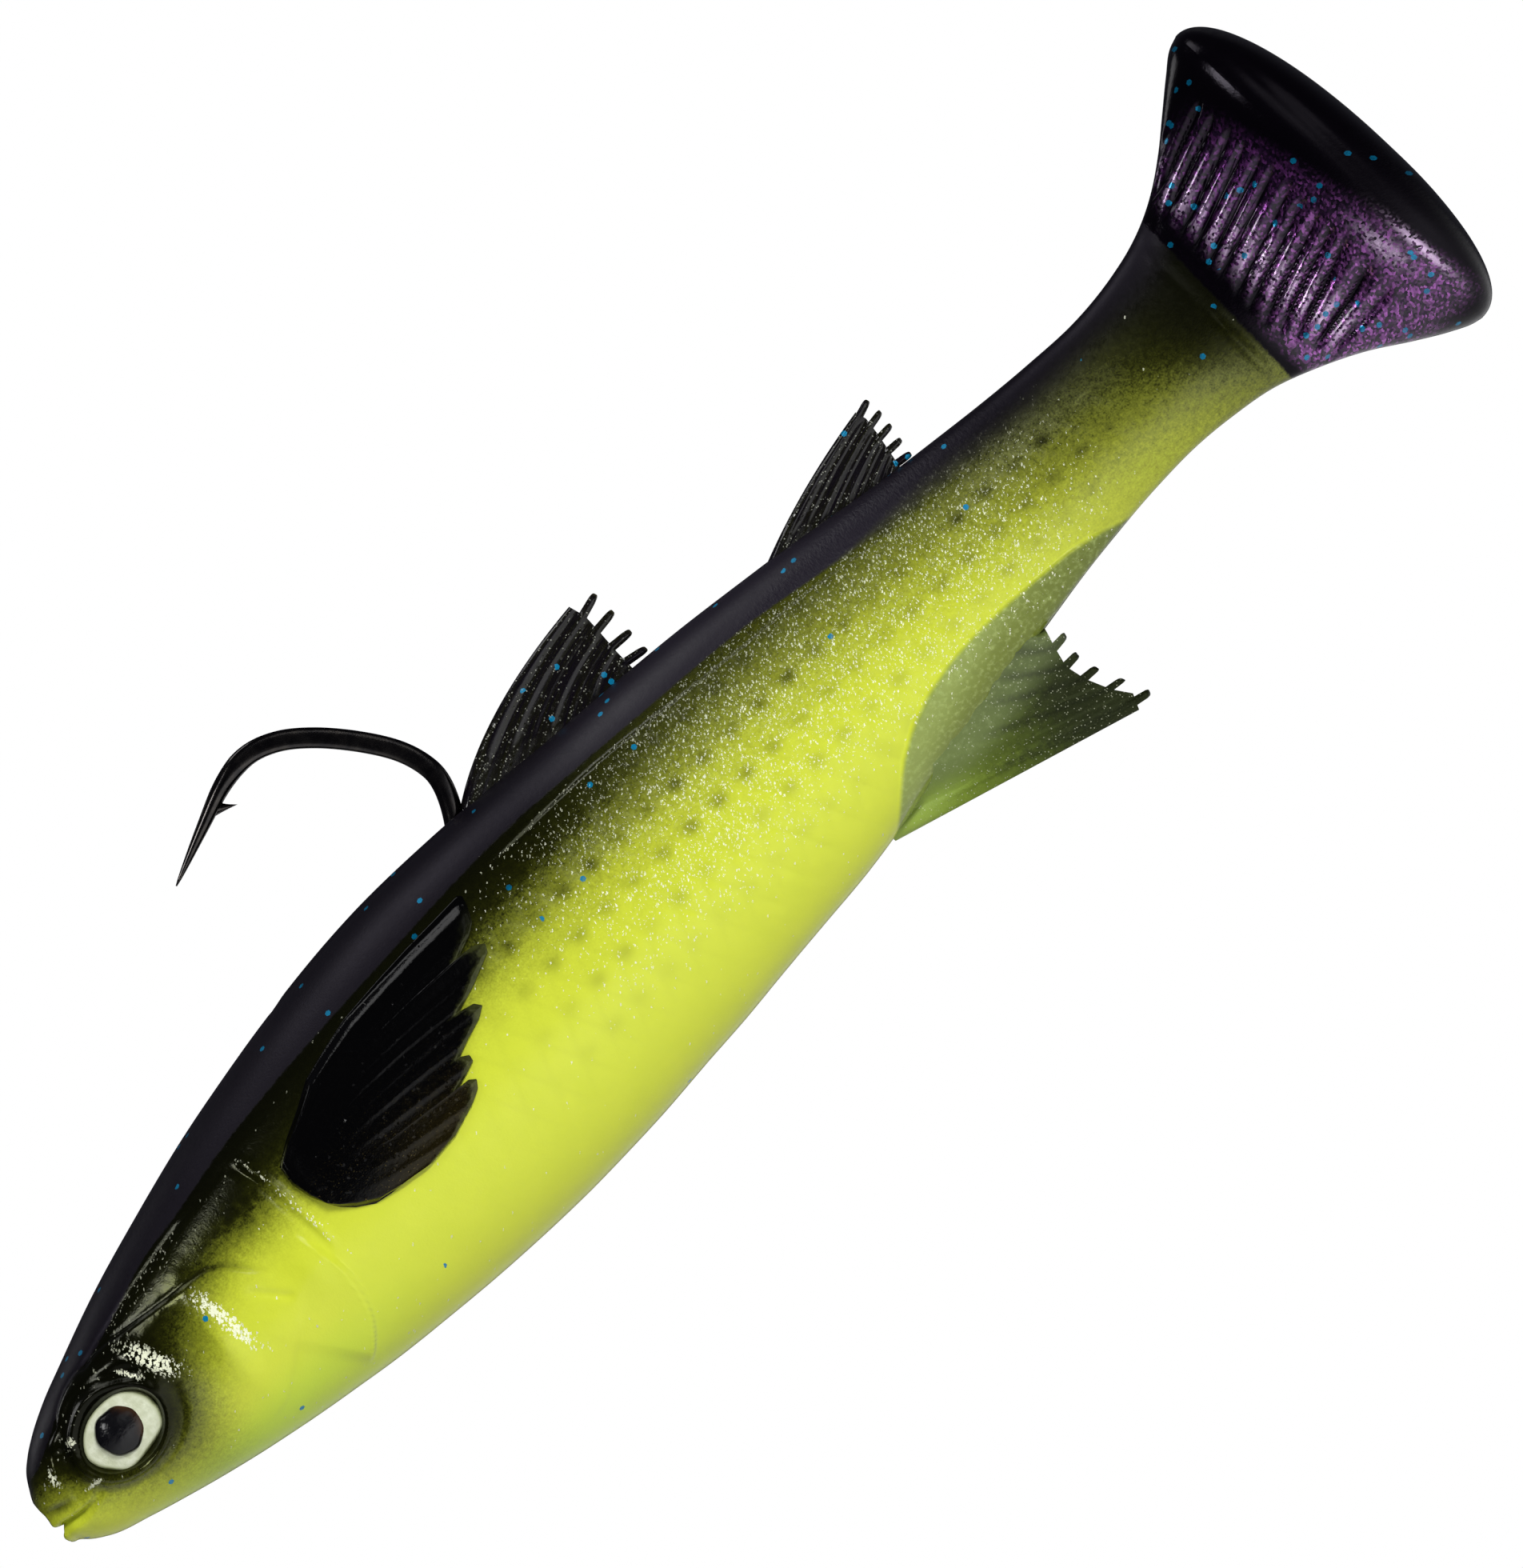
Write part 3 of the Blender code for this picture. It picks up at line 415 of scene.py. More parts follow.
def build_skin():
    """Positions, normals and paint fields of the whole skin."""
    p = skin_grid()
    n = grid_normals(p)
    s, y, h = p[..., 0], p[..., 1], p[..., 2]
    side = step(np.abs(n[..., 1]), 0.12, 0.6)
    front = step(-n[..., 0], 0.5, 0.9)
    d = relief(s, h, side)
    q = p + n * d[..., None]
    # the mouth's opening and the back's slot
    hole = (1 - step(np.abs(y), 1.1, 1.3)) * (1 - step(np.abs(h - TIE_H), 0.95, 1.2)) * front
    q[..., 0] += MOUTH_DEPTH * hole
    on_back = step(n[..., 2], 0.5, 0.8)
    slot = (1 - step(np.abs(y), 0.72, 0.86)) * on_back * step(s, 34.3, 35.4) * (1 - step(s, 52.6, 53.4))
    q[..., 2] -= SLOT_DEPTH * slot
    lips = bump(np.abs(y) - 1.25, 0.45) * on_back * step(s, 34, 36) * (1 - step(s, 52.5, 54))
    q[..., 2] += 0.12 * lips
    normals = grid_normals(q)
    # length round the ring from the middle of each flank, up or down, for even texture
    steps = np.linalg.norm(np.diff(p, axis=1, append=p[:, :1]), axis=-1)
    run = np.cumsum(steps, 1) - steps
    quarter = steps.sum(1, keepdims=True) / 4
    arc = np.where(run <= quarter, run, np.where(run <= 3 * quarter, 2 * quarter - run, run - 4 * quarter))
    above_purple = h - PURPLE_LOW(s)
    clear = 1 / (1 + np.exp(np.clip(OLIVE_RATE(s) * (h - OLIVE_MID(s)) * 1.05, -30, 30)))
    along, across = scale_rows(s, h)
    row = np.round(across)
    phase = np.where(row % 2 == 0, 0.0, 0.5)
    du = (along + phase - np.round(along + phase)) * SCALE_LONG
    dv = (across - row) * SCALE_ROW
    weight = np.interp(row, [-4, -3, -2, -1, 0, 1, 2], [0, 0.12, 0.3, 0.62, 0.75, 0.5, 0])
    weight = weight * (0.75 + 0.5 * noise_field(along, row, 1.0, 21))
    dots = weight * np.exp(-((du / 0.62) ** 2) - (dv / 0.5) ** 2) * step(s, 42, 50) * (1 - step(s, 98, 104))
    band = across + 0.12 - np.floor(across + 0.12)
    banded = step(band, 0.0, 0.25) * (1 - band) * step(s, 44, 52) * (1 - step(s, 90, 104)) * step(h, -2, 1)
    clear = clear * (1 - 0.16 * banded)
    net = scale_net(along, across)
    lines = bump(net, 0.22) * step(s, 36, 44) * (1 - step(s, 80, 95)) * step(h, -8, -4) * (1 - step(h, 1, 4))
    r = eye_radius(s, h)
    round_eye = bump(np.clip(r - 1.0, 0, None), 0.75) * side
    clear = clear * (1 - 0.85 * round_eye)
    turn = nostril_turn(s, h)
    nostril = np.exp(-((turn[0] / 1.0) ** 2) - (turn[1] / 0.36) ** 2)
    mottle = step(noise_field(s, h, 0.45, 12), -0.35, 0.25)
    mottle = 0.8 * mottle * patch(s, h, (23.3, 5.1), (2.3, 1.3)) * side
    smudge = 0.5 * patch(s, h, (109.4, 0.2), (1.8, 3.0)) * side
    reach, wave = flutes(s, h)
    # painted shade: black in the tail's flute grooves and in the step behind the wrist's collar
    collar_step_shade = (1 - step(s, 112.5, 115.5)) * step(h, -7, -1)
    groove_shade = step(s, 111, 112.5) * (reach * (1 - step(wave, 0.25, 0.75)) + collar_step_shade)
    # dark marks: scale dots, net lines, smudge and mottle are paint, the nostril's hollow is darkened, and
    # the grooves get painted shade
    dark = np.clip(dots + 0.05 * lines + 0.9 * nostril + smudge + mottle + groove_shade, 0, 1)
    # painted shade: a black line along the brow's crease
    brow, brow_share = line_field(s, h, BROW)
    dark = np.clip(dark + 0.95 * bump(brow - 0.05, 0.3) * taper(brow_share, 0.05, 0.25) * side, 0, 1)
    # painted highlights, where the gloss catches the light: cheek, brow, snout, lip corner, shoulder and
    # scale edge
    painted_highlight = np.zeros(s.shape)
    for place, size, lean in (((17.9, 0.6), (0.55, 2.9), -0.08), ((12.6, 2.2), (0.75, 2.1), -0.35),
                              ((2.3, 1.5), (0.28, 0.7), 0.2), ((4.1, -0.75), (0.7, 0.25), 0.0),
                              ((10.9, 2.6), (0.3, 1.0), -0.6), ((4.9, 2.2), (0.5, 0.35), 0.5)):
        painted_highlight += 0.9 * patch(s, h, place, size, lean, 4)
    for line, width, amount in ((SHOULDER, 0.22, 0.6), (SCALE_EDGE, 0.16, 0.4), (CROWN_GROOVE, 0.2, 0.3)):
        away, share = line_field(s, h, line)
        painted_highlight += amount * bump(away, width) * taper(share, 0.08, 0.3)
    # painted highlights on the tail: the lower ends of the ridges and two patches towards the rim
    painted_highlight += 0.75 * reach * step(wave, 0.75, 1.0) * bump(s - 115.2 + 0.12 * h, 1.5)
    for place, size, lean in (((121.6, -4.9), (0.55, 2.0), -0.1), ((123.4, -7.0), (0.3, 2.4), -0.05)):
        painted_highlight += 0.85 * patch(s, h, place, size, lean)
    painted_highlight = np.clip(painted_highlight * side, 0, 1)
    lobe = np.where((s > 70) & (s < 99), LOBE_TOP(s) - h, -9.0)
    fields = {
        "skin_place": np.stack([s, arc, h], -1),
        "skin_paint": np.stack([above_purple, clear, lobe], -1),
        "skin_marks_and_painted_light": np.stack([dark, painted_highlight, s - TAIL_S - 0.04 * (h - 1)], -1),
    }
    return frame_place(s=q[..., 0], y=q[..., 1], h=q[..., 2]), normals, fields


# Meshes


def set_fields(mesh, fields):
    for key, values in fields.items():
        attribute = mesh.attributes.new(key, "FLOAT_VECTOR", "POINT")
        attribute.data.foreach_set("vector", np.reshape(values, -1).astype(np.float32))


def solid_mesh(name, verts, faces, fields, weld=False):
    """A smooth closed mesh, its faces turned outwards; weld joins the points that lie on each other."""
    mesh = bpy.data.meshes.new(name)
    mesh.from_pydata(verts, [], faces)
    mesh.validate()
    set_fields(mesh, fields)
    work = bmesh.new()
    work.from_mesh(mesh)
    bmesh.ops.recalc_face_normals(work, faces=work.faces)
    if weld:
        bmesh.ops.remove_doubles(work, verts=work.verts, dist=1e-7)
        bmesh.ops.holes_fill(work, edges=[e for e in work.edges if e.is_boundary], sides=0)
    work.to_mesh(mesh)
    work.free()
    mesh.polygons.foreach_set("use_smooth", [True] * len(mesh.polygons))
    return mesh


def grid_mesh(name, points, normals, fields, close_start, close_end):
    """A mesh of rings, closed round, with its own normals and fields."""
    rings, columns = points.shape[:2]
    index = np.arange(rings * columns).reshape(rings, columns)
    a, b = index[:-1], index[1:]
    quads = np.stack([a, np.roll(a, -1, 1), np.roll(b, -1, 1), b], -1).reshape(-1, 4)
    verts = points.reshape(-1, 3)
    faces = quads.tolist()
    if close_start:
        faces.append(list(range(columns))[::-1])
    if close_end:
        faces.append(index[-1].tolist())
    mesh = bpy.data.meshes.new(name)
    mesh.from_pydata(verts.tolist(), [], faces)
    first, second, _, last = (verts[quads[:, k]] for k in range(4))
    if (np.cross(second - first, last - first) * normals.reshape(-1, 3)[quads[:, 0]]).sum() < 0:
        mesh.flip_normals()
    set_fields(mesh, fields)
    layer = mesh.uv_layers.new(name="OFBake")
    corner = np.zeros(len(mesh.loops), np.int32)
    mesh.loops.foreach_get("vertex_index", corner)
    column = corner % columns
    u = (corner // columns) / max(rings - 1, 1)
    v = column / columns
    starts = np.zeros(len(mesh.polygons), np.int32)
    totals = np.zeros(len(mesh.polygons), np.int32)
    mesh.polygons.foreach_get("loop_start", starts)
    mesh.polygons.foreach_get("loop_total", totals)
    face_of = np.repeat(np.arange(len(starts)), totals)
    widest = np.zeros(len(starts))
    np.maximum.at(widest, face_of, column)
    wraps = (widest[face_of] == columns - 1) & (column == 0) & (totals[face_of] == 4)
    v = np.where(wraps, 1.0, v)
    uv = UV_MARGIN + (1 - 2 * UV_MARGIN) * np.stack([u, v], -1)
    layer.data.foreach_set("uv", uv.astype(np.float32).ravel())
    mesh.polygons.foreach_set("use_smooth", [True] * len(mesh.polygons))
    mesh.normals_split_custom_set_from_vertices(normals.reshape(-1, 3).tolist())
    mesh.update()
    return mesh


def link(name, mesh, material):
    obj = bpy.data.objects.new(name, mesh)
    obj.data.materials.append(material)
    bpy.context.scene.collection.objects.link(obj)
    return obj


def stands_for(piece, slot, *nodes, ride=None, blend=None):
    """The piece stands for CAD nodes, which it hides: it rides on a body, or stays fixed in the frame."""
    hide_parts(*nodes)
    if ride:
        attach(piece, ride)
    else:
        body_a, body_b, start, end = blend
        spot_at(*start)
        spot_at(*end)
        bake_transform(piece)


# Shader building


def operator(kind, swap=False):
    return lambda a, b: a.nodes.math(kind, *((b, a) if swap else (a, b)))


class Value:
    """What a node gives, which takes sums and products. Another output of the same node is value[name]."""

    def __init__(self, nodes, socket):
        self.nodes, self.socket = nodes, socket

    def __getitem__(self, key):
        return Value(self.nodes, self.socket.node.outputs[key])

    def __abs__(self):
        return self.nodes.math("ABSOLUTE", self)

    __add__, __sub__, __mul__, __truediv__ = map(operator, ("ADD", "SUBTRACT", "MULTIPLY", "DIVIDE"))
    __radd__, __rsub__, __rmul__ = (operator(kind, True) for kind in ("ADD", "SUBTRACT", "MULTIPLY"))


class Nodes:
    """Short calls that add linked nodes to one material."""

    def __init__(self, name):
        self.material = bpy.data.materials.new(name)
        self.material.use_nodes = True
        self.tree = self.material.node_tree
        self.shader = self.tree.nodes["Principled BSDF"]

    def put(self, socket, value):
        if isinstance(value, Value):
            self.tree.links.new(value.socket, socket)
        elif isinstance(value, tuple) and socket.type == "RGBA":
            socket.default_value = (*value, 1.0)
        else:
            socket.default_value = value

    def new(self, kind, inputs=(), output=0, **settings):
        node = self.tree.nodes.new("ShaderNode" + kind)
        for key, value in settings.items():
            setattr(node, key, value)
        for key, value in inputs.items() if isinstance(inputs, dict) else enumerate(inputs):
            self.put(node.inputs[key], value)
        return Value(self, node.outputs[output])

    def set(self, **values):
        for key, value in values.items():
            self.put(self.shader.inputs[key.replace("_", " ")], value)

    def attribute(self, name):
        return self.new("Attribute", output="Vector", attribute_name=name)

    def split(self, vector):
        parts = self.new("SeparateXYZ", [vector])
        return parts[0], parts[1], parts[2]

    def join(self, x, y, z):
        return self.new("CombineXYZ", [x, y, z])

    def math(self, operation, *values, clamp=False):
        return self.new("Math", values, operation=operation, use_clamp=clamp)

    def less(self, a, b):
        return self.math("LESS_THAN", a, b)

    def most(self, a, b):
        return self.math("MAXIMUM", a, b)

    def vector(self, operation, *values):
        return self.new("VectorMath", values, operation=operation)

    def ramp(self, value, low, high, out_low=0.0, out_high=1.0, kind="SMOOTHSTEP"):
        inputs = {"Value": value, "From Min": low, "From Max": high, "To Min": out_low, "To Max": out_high}
        return self.new("MapRange", inputs, "Result", interpolation_type=kind)

    def mix(self, factor, a, b):
        return self.new("Mix", {0: factor, 6: a, 7: b}, 2, data_type="RGBA")

    def noise(self, vector, scale, detail=2.0, roughness=0.5):
        inputs = {"Vector": vector, "Scale": scale, "Detail": detail, "Roughness": roughness}
        return self.new("TexNoise", inputs, "Fac")

    def cells(self, vector, scale):
        return self.new("TexVoronoi", {"Vector": vector, "Scale": scale}, voronoi_dimensions="2D")

    def bump(self, height, distance, strength):
        return self.new("Bump", {"Strength": strength, "Distance": distance, "Height": height})

    def facets(self, normal, source, amount):
        """The normal, tilted at random by the colour of each cell of glitter."""
        tilt = self.vector("SUBTRACT", source, (0.5, 0.5, 0.5))
        tilt = self.vector("MULTIPLY", tilt, self.join(amount, amount, amount))
        return self.vector("NORMALIZE", self.vector("ADD", normal, tilt))

    def flakes(self, place, size, radius, share):
        """A mask of sparse six-sided flakes. Share is the part of cells that holds one."""
        cells = self.cells(place, 1 / size)
        scale = (1 / size, 1 / size, 0)
        ends = [self.vector("MULTIPLY", end, scale) for end in (place, cells["Position"])]
        x, y, _ = self.split(self.vector("SUBTRACT", *ends))
        span = self.most(self.most(abs(x), abs(x * 0.5 + y * 0.866)), abs(x * 0.5 - y * 0.866))
        return self.less(span, radius / size) * self.less(self.split(cells["Color"])[0], share)

    def cloudy(self, place):
        """(grain, speck): coarse and fine noise of the plastic's paint."""
        return self.noise(place, 2.2, 4.0, 0.6), self.noise(place, 8.0, 2.0, 0.6)


# Materials

CHARTREUSE = (0.64, 0.715, 0.043)
OLIVE = (0.006, 0.0065, 0.002)
PURPLE = (0.0085, 0.0062, 0.0125)
TAIL_BLACK = (0.0035, 0.0022, 0.0052)
LOBE_GREY = (0.21, 0.275, 0.08)
FLAKE_BLUE = (0.002, 0.21, 0.4)
FIN_TIP = (0.2, 0.19, 0.07)


def skin_material():
    n = Nodes("painted_soft_plastic")
    s, arc, h = n.split(n.attribute("skin_place"))
    above, clear, lobe = n.split(n.attribute("skin_paint"))
    dark, painted_highlight, tail = n.split(n.attribute("skin_marks_and_painted_light"))
    flat = n.join(s, arc, 0.0)
    drift = n.noise(flat, 0.35, 3.0, 0.6)
    grain = n.noise(flat, 2.4, 4.0, 0.6)
    speck = n.noise(flat, 7.0, 2.0, 0.6)
    # olive coat, broken up where it thins out
    swing = clear * (1.0 - clear) * 4.0
    broken = (grain - 0.5) * 0.55 + (speck - 0.5) * 0.5
    thin = n.math("ADD", clear, swing * broken, clamp=True)
    # dark paint marks and painted shade deepen the olive
    thin = thin * (1.0 - dark * 0.8)
    body = n.mix(n.ramp(drift, 0.3, 0.7), CHARTREUSE, (0.62, 0.70, 0.040))
    # painted reflection: the belly under the head tinted greener, as the light from below reflects there
    body = n.mix(n.ramp(h, -3.5, -7.0) * n.ramp(s, 32.0, 12.0), body, (0.55, 0.75, 0.05))
    colour = n.mix(thin, OLIVE, body)
    grey = n.mix(n.ramp(lobe + n.ramp(s, 78.0, 94.0) * 3.0, 0.8, 3.4), LOBE_GREY, (0.085, 0.12, 0.022))
    grey = n.mix(n.ramp(grain, 0.45, 0.75) * 0.5, grey, (0.42, 0.52, 0.2))
    colour = n.mix(n.ramp(lobe, -0.15, 0.2, 0.0, 0.85), colour, grey)
    # purple back pour: a crisp edge on the flank, a soft one towards the wrist and on the snout
    rear = n.ramp(s, 80.0, 92.0)
    fray = (grain - 0.5) * (0.25 + rear * 0.7)
    edge = above + fray
    width = 0.12 + rear * 1.5
    purple = n.ramp(edge / width, -1.0, 1.0)
    colour = n.mix(purple, colour, PURPLE)
    tail_mask = n.ramp(tail + (grain - 0.5) * 0.5, -0.12, 0.12)
    colour = n.mix(tail_mask, colour, TAIL_BLACK)
    # glitter: pale specks in the clear plastic, painted near-white as glints, and purple flecks in the tail
    streaks = n.noise(n.join(s * 4.2, arc * 2.3, 0.0), 1.0, 3.0, 0.65)
    warp = (speck - 0.5) * 2.2
    fine = n.cells(n.join(s * 5.6 + warp, arc * 4.8 + warp, 0.0), 1.0)
    tail_cells = n.cells(flat, 6.0)
    pick = n.split(fine["Color"])[0]
    flank_band = n.ramp(s, 44.0, 64.0) * n.ramp(s, 101.0, 88.0)
    band_h = n.ramp(h, -6.5, -1.0) * n.ramp(h, 8.6, 7.6)
    # the flank band where glints are painted most densely, as painted sparkle where the gloss catches the
    # light
    rich = flank_band * band_h
    # painted glints along the crown's line under the purple edge
    crown = n.ramp(abs(above + 1.1), 0.9, 0.2) * n.ramp(s, 23.0, 18.0)
    cluster = n.ramp(streaks, 0.42, 0.6) * n.ramp(drift, 0.35, 0.6, 0.5, 1.0)
    dense = n.ramp(s, 88.0, 98.0, 0.008, 0.002) + rich * cluster + crown * 0.1
    # painted highlights: dense near-white glints fill the highlight patches, and grow larger where that mask
    # is strong
    dense = dense + painted_highlight * n.ramp(streaks + painted_highlight * 0.12, 0.3, 0.5, 0.35, 1.0)
    wide = n.ramp(n.split(fine["Color"])[1], 0.0, 1.0, 0.12, 0.37, "LINEAR") + painted_highlight * painted_highlight * 0.45
    pale = n.less(pick, dense) * n.less(fine["Distance"], wide)
    pale = pale * (1.0 - n.most(tail_mask, purple))
    bell = n.ramp(s, 111.8, 113.6) * n.ramp(s + h * 0.2, 122.9, 120.4)
    rich_tail = tail_mask * bell * n.ramp(h, 11.5, 5.5) * n.ramp(h, -12.5, -9.5)
    pick_tail = n.split(tail_cells["Color"])
    # no purple flecks in the dark marks and the painted groove shade
    rich_tail = rich_tail * (1.0 - dark)
    purple_fleck = rich_tail * n.ramp(pick_tail[0], 0.2, 0.5, 0.15, 1.0)
    # painted light: the purple flecks are lighter on the tail's lower half, as lit from below
    purple_lit_below = n.mix(n.ramp(h, 4.0, -4.0), (0.22, 0.05, 0.27), (0.52, 0.16, 0.6))
    fleck_colour = n.mix(pick_tail[1] * pick_tail[1], (0.014, 0.003, 0.026), purple_lit_below)
    # pale specks painted near-white as glints, stronger where the olive is thin and in the painted
    # highlights
    colour = n.mix(pale * n.most(n.ramp(thin, 0.02, 0.4, 0.35, 0.9), painted_highlight), colour, (0.93, 0.96, 0.72))
    colour = n.mix(purple_fleck, colour, fleck_colour)
    # painted highlight: pink-white glints on the tail's highlight patches
    painted_tail_highlight = tail_mask * painted_highlight * n.ramp(pick_tail[2] + painted_highlight * 0.5, 0.45, 0.75)
    colour = n.mix(painted_tail_highlight, colour, (0.82, 0.6, 0.88))
    share = 0.007 + n.most(purple, tail_mask) * 0.035 + rich_tail * 0.09
    blue = n.flakes(flat, 0.95, 0.19, share)
    colour = n.mix(blue * n.ramp(grain, 0.2, 0.6, 0.55, 1.0), colour, FLAKE_BLUE)
    glint = n.most(purple_fleck, blue * 0.25)
    satin = purple * (1.0 - tail_mask)
    rough = n.ramp(satin, 0.0, 1.0, 0.12, 0.4)
    rough = rough + n.ramp(s, 84.0, 97.0) * n.ramp(tail_mask, 1.0, 0.0) * n.ramp(satin, 1.0, 0.0, 0.0, 0.06)
    rough = rough + tail_mask * n.ramp(s, 122.3, 123.6, 0.0, 0.1)
    rough = rough + (grain - 0.5) * 0.1
    rough = rough + n.ramp(drift, 0.3, 0.7) * 0.03
    rough = rough + purple_fleck * 0.12
    dull = n.ramp(thin, 0.16, 0.03) * n.most(n.ramp(s, 66.0, 54.0), n.ramp(s, 82.0, 96.0))
    dull = n.most(dull * 0.65, tail_mask * n.ramp(rich_tail, 0.5, 0.0, 0.3, 0.75))
    dull = dull * (1.0 - pale)
    scales = rich * (0.25 + n.ramp(s, 50.0, 66.0) * 0.75)
    relief = grain * 0.22 + speck * 0.14
    relief = relief + scales * streaks * 1.2
    normal = n.bump(relief, 0.00007, 0.8)
    tilt_source = n.mix(purple_fleck, fine["Color"], tail_cells["Color"])
    amount = n.most(pale * 0.7, purple_fleck * 0.24)
    normal = n.facets(normal, tilt_source, amount)
    n.set(Base_Color=colour, Roughness=rough, Metallic=n.most(glint * 0.85, dull), Normal=normal, IOR=1.5,
          Coat_Weight=rich_tail * 0.8, Coat_Roughness=0.12)
    return n.material


def dorsal_material():
    """Glossy fin plastic: pale and clear at its tips, darker towards the root, specked along its rays, the
    pale specks painted as glints.
    """
    n = Nodes("dorsal_fin_plastic")
    t, across, _ = n.split(n.attribute("fin_place"))
    s, _, h = n.split(n.attribute("fin_spot"))
    flat = n.join(s, h, 0.0)
    grain, speck = n.cloudy(flat)
    rays = n.noise(n.join(t * 2.5, across * 26.0, 0.0), 1.0, 3.0, 0.6)
    colour = n.mix(n.ramp(rays, 0.35, 0.65), (0.0028, 0.0018, 0.004), (0.0055, 0.0055, 0.0018))
    gold = n.ramp(speck, 0.6, 0.72) * n.ramp(grain, 0.4, 0.62)
    colour = n.mix(gold * 0.12, colour, FIN_TIP)
    colour = n.mix(n.ramp(t, 0.985, 1.02) * n.ramp(grain, 0.25, 0.6, 0.2, 0.4), colour, FIN_TIP)
    blue = n.flakes(flat, 0.9, 0.19, 0.05)
    colour = n.mix(blue, colour, FLAKE_BLUE)
    rough = 0.08 + grain * 0.12
    cells = n.cells(flat, 6.5)
    sparks = n.less(n.split(cells["Color"])[1], 0.22) * n.ramp(rays, 0.45, 0.6, 0.0, 0.55)
    # pale specks: glitter painted near-white as glints between the rays
    points = n.less(n.split(cells["Color"])[0], n.ramp(rays, 0.42, 0.62, 0.02, 0.3))
    points = points * n.ramp(grain, 0.4, 0.6, 0.0, 0.6)
    colour = n.mix(points * n.less(cells["Distance"], 0.34), colour, (0.42, 0.43, 0.36))
    normal = n.facets(n.bump(rays * 0.6 + speck * 0.3, 0.00004, 0.6), cells["Color"], sparks)
    n.set(Base_Color=colour, Roughness=rough, Metallic=blue * 0.25, Normal=normal, IOR=1.5)
    return n.material


def anal_material():
    """Clear olive fin plastic: bright green at its front root, dark and specked towards the fingers."""
    n = Nodes("anal_fin_plastic")
    t, across, ray = n.split(n.attribute("fin_place"))
    s, below, h = n.split(n.attribute("fin_spot"))
    flat = n.join(s, h, 0.0)
    grain, speck = n.cloudy(flat)
    front = n.ramp(s + (grain - 0.5) * 4.0, 86.0, 72.0)
    colour = n.mix(front, (0.026, 0.034, 0.009), (0.26, 0.37, 0.04))
    broken = (grain - 0.5) * 1.5
    upper = n.ramp(below + broken, 3.0, 0.3) * n.ramp(across, 0.98, 0.7)
    webbing = n.mix(n.ramp(s, 74.0, 90.0), (0.15, 0.205, 0.05), (0.1, 0.135, 0.035))
    webbing = n.mix(n.ramp(grain, 0.45, 0.75) * 0.5, webbing, (0.3, 0.38, 0.14))
    colour = n.mix(upper * 0.9, colour, webbing)
    # painted shade: dark lines along the rays, standing for the shade of their grooves
    ray_groove_shade = ray * n.ramp(t, 0.3, 0.5) * n.ramp(grain, 0.3, 0.6, 0.25, 0.6)
    colour = n.mix(ray_groove_shade, colour, (0.012, 0.016, 0.005))
    gold = n.ramp(speck, 0.58, 0.7) * n.ramp(grain, 0.4, 0.62)
    colour = n.mix(gold * 0.25, colour, (0.42, 0.46, 0.24))
    # pale specks: glitter painted near-white as glints
    cells = n.cells(flat, 6.5)
    points = n.less(n.split(cells["Color"])[0], n.ramp(grain, 0.4, 0.65, 0.04, 0.24))
    points = points * n.less(cells["Distance"], 0.26)
    colour = n.mix(points * 0.55, colour, (0.62, 0.66, 0.46))
    rough = 0.34 + grain * 0.2
    n.set(Base_Color=colour, Roughness=rough, Metallic=n.ramp(below, 0.5, 2.5, 0.0, 0.75),
          Normal=n.bump(grain * 0.8 + speck * 0.4, 0.00006, 0.6), IOR=1.5)
    return n.material


def ring_material():
    n = Nodes("cream_eye_paint")
    s, _, h = n.split(n.attribute("fin_spot"))
    flat = n.join(s, h, 0.0)
    grain = n.noise(flat, 1.6, 4.0, 0.6)
    speck = n.noise(flat, 9.0, 2.0, 0.6)
    colour = n.mix(n.ramp(grain, 0.35, 0.7), (0.60, 0.64, 0.44), (0.76, 0.80, 0.62))
    r, _, _ = n.split(n.attribute("fin_place"))
    colour = n.mix(n.ramp(r + (grain - 0.5) * 0.2, 0.84, 1.0), colour, (0.36, 0.4, 0.18))
    n.set(Base_Color=colour, Roughness=0.36 + grain * 0.14, Normal=n.bump(grain + speck * 0.4, 0.0001, 0.6))
    return n.material


def pupil_material():
    n = Nodes("black_pupil_paint")
    s, _, h = n.split(n.attribute("fin_spot"))
    r, _, _ = n.split(n.attribute("fin_place"))
    flat = n.join(s, h, 0.0)
    grain = n.noise(flat, 1.8, 4.0, 0.6)
    smudge = n.ramp(s + grain * 0.8, 8.5, 9.3) * n.ramp(r, 0.45, 0.9)
    colour = n.mix(smudge * 0.7, (0.003, 0.003, 0.004), (0.06, 0.028, 0.012))
    colour = n.mix(n.ramp(grain, 0.6, 0.75) * 0.3, colour, (0.03, 0.028, 0.03))
    n.set(Base_Color=colour, Roughness=0.1 + grain * 0.14, Normal=n.bump(grain, 0.00008, 0.6))
    return n.material


def steel_material():
    n = Nodes("black_nickel")
    place = n.attribute("fin_spot")
    grain = n.noise(place, 1.1, 5.0, 0.6)
    fine = n.noise(place, 6.0, 3.0, 0.6)
    colour = n.mix(n.ramp(grain, 0.3, 0.7), (0.05, 0.048, 0.05), (0.085, 0.078, 0.072))
    colour = n.mix(n.ramp(fine, 0.66, 0.76) * 0.15, colour, (0.18, 0.16, 0.13))
    rough = 0.1 + grain * 0.12
    n.set(Base_Color=colour, Roughness=rough, Metallic=1.0, Normal=n.bump(grain + fine * 0.2, 0.00002, 0.5))
    return n.material


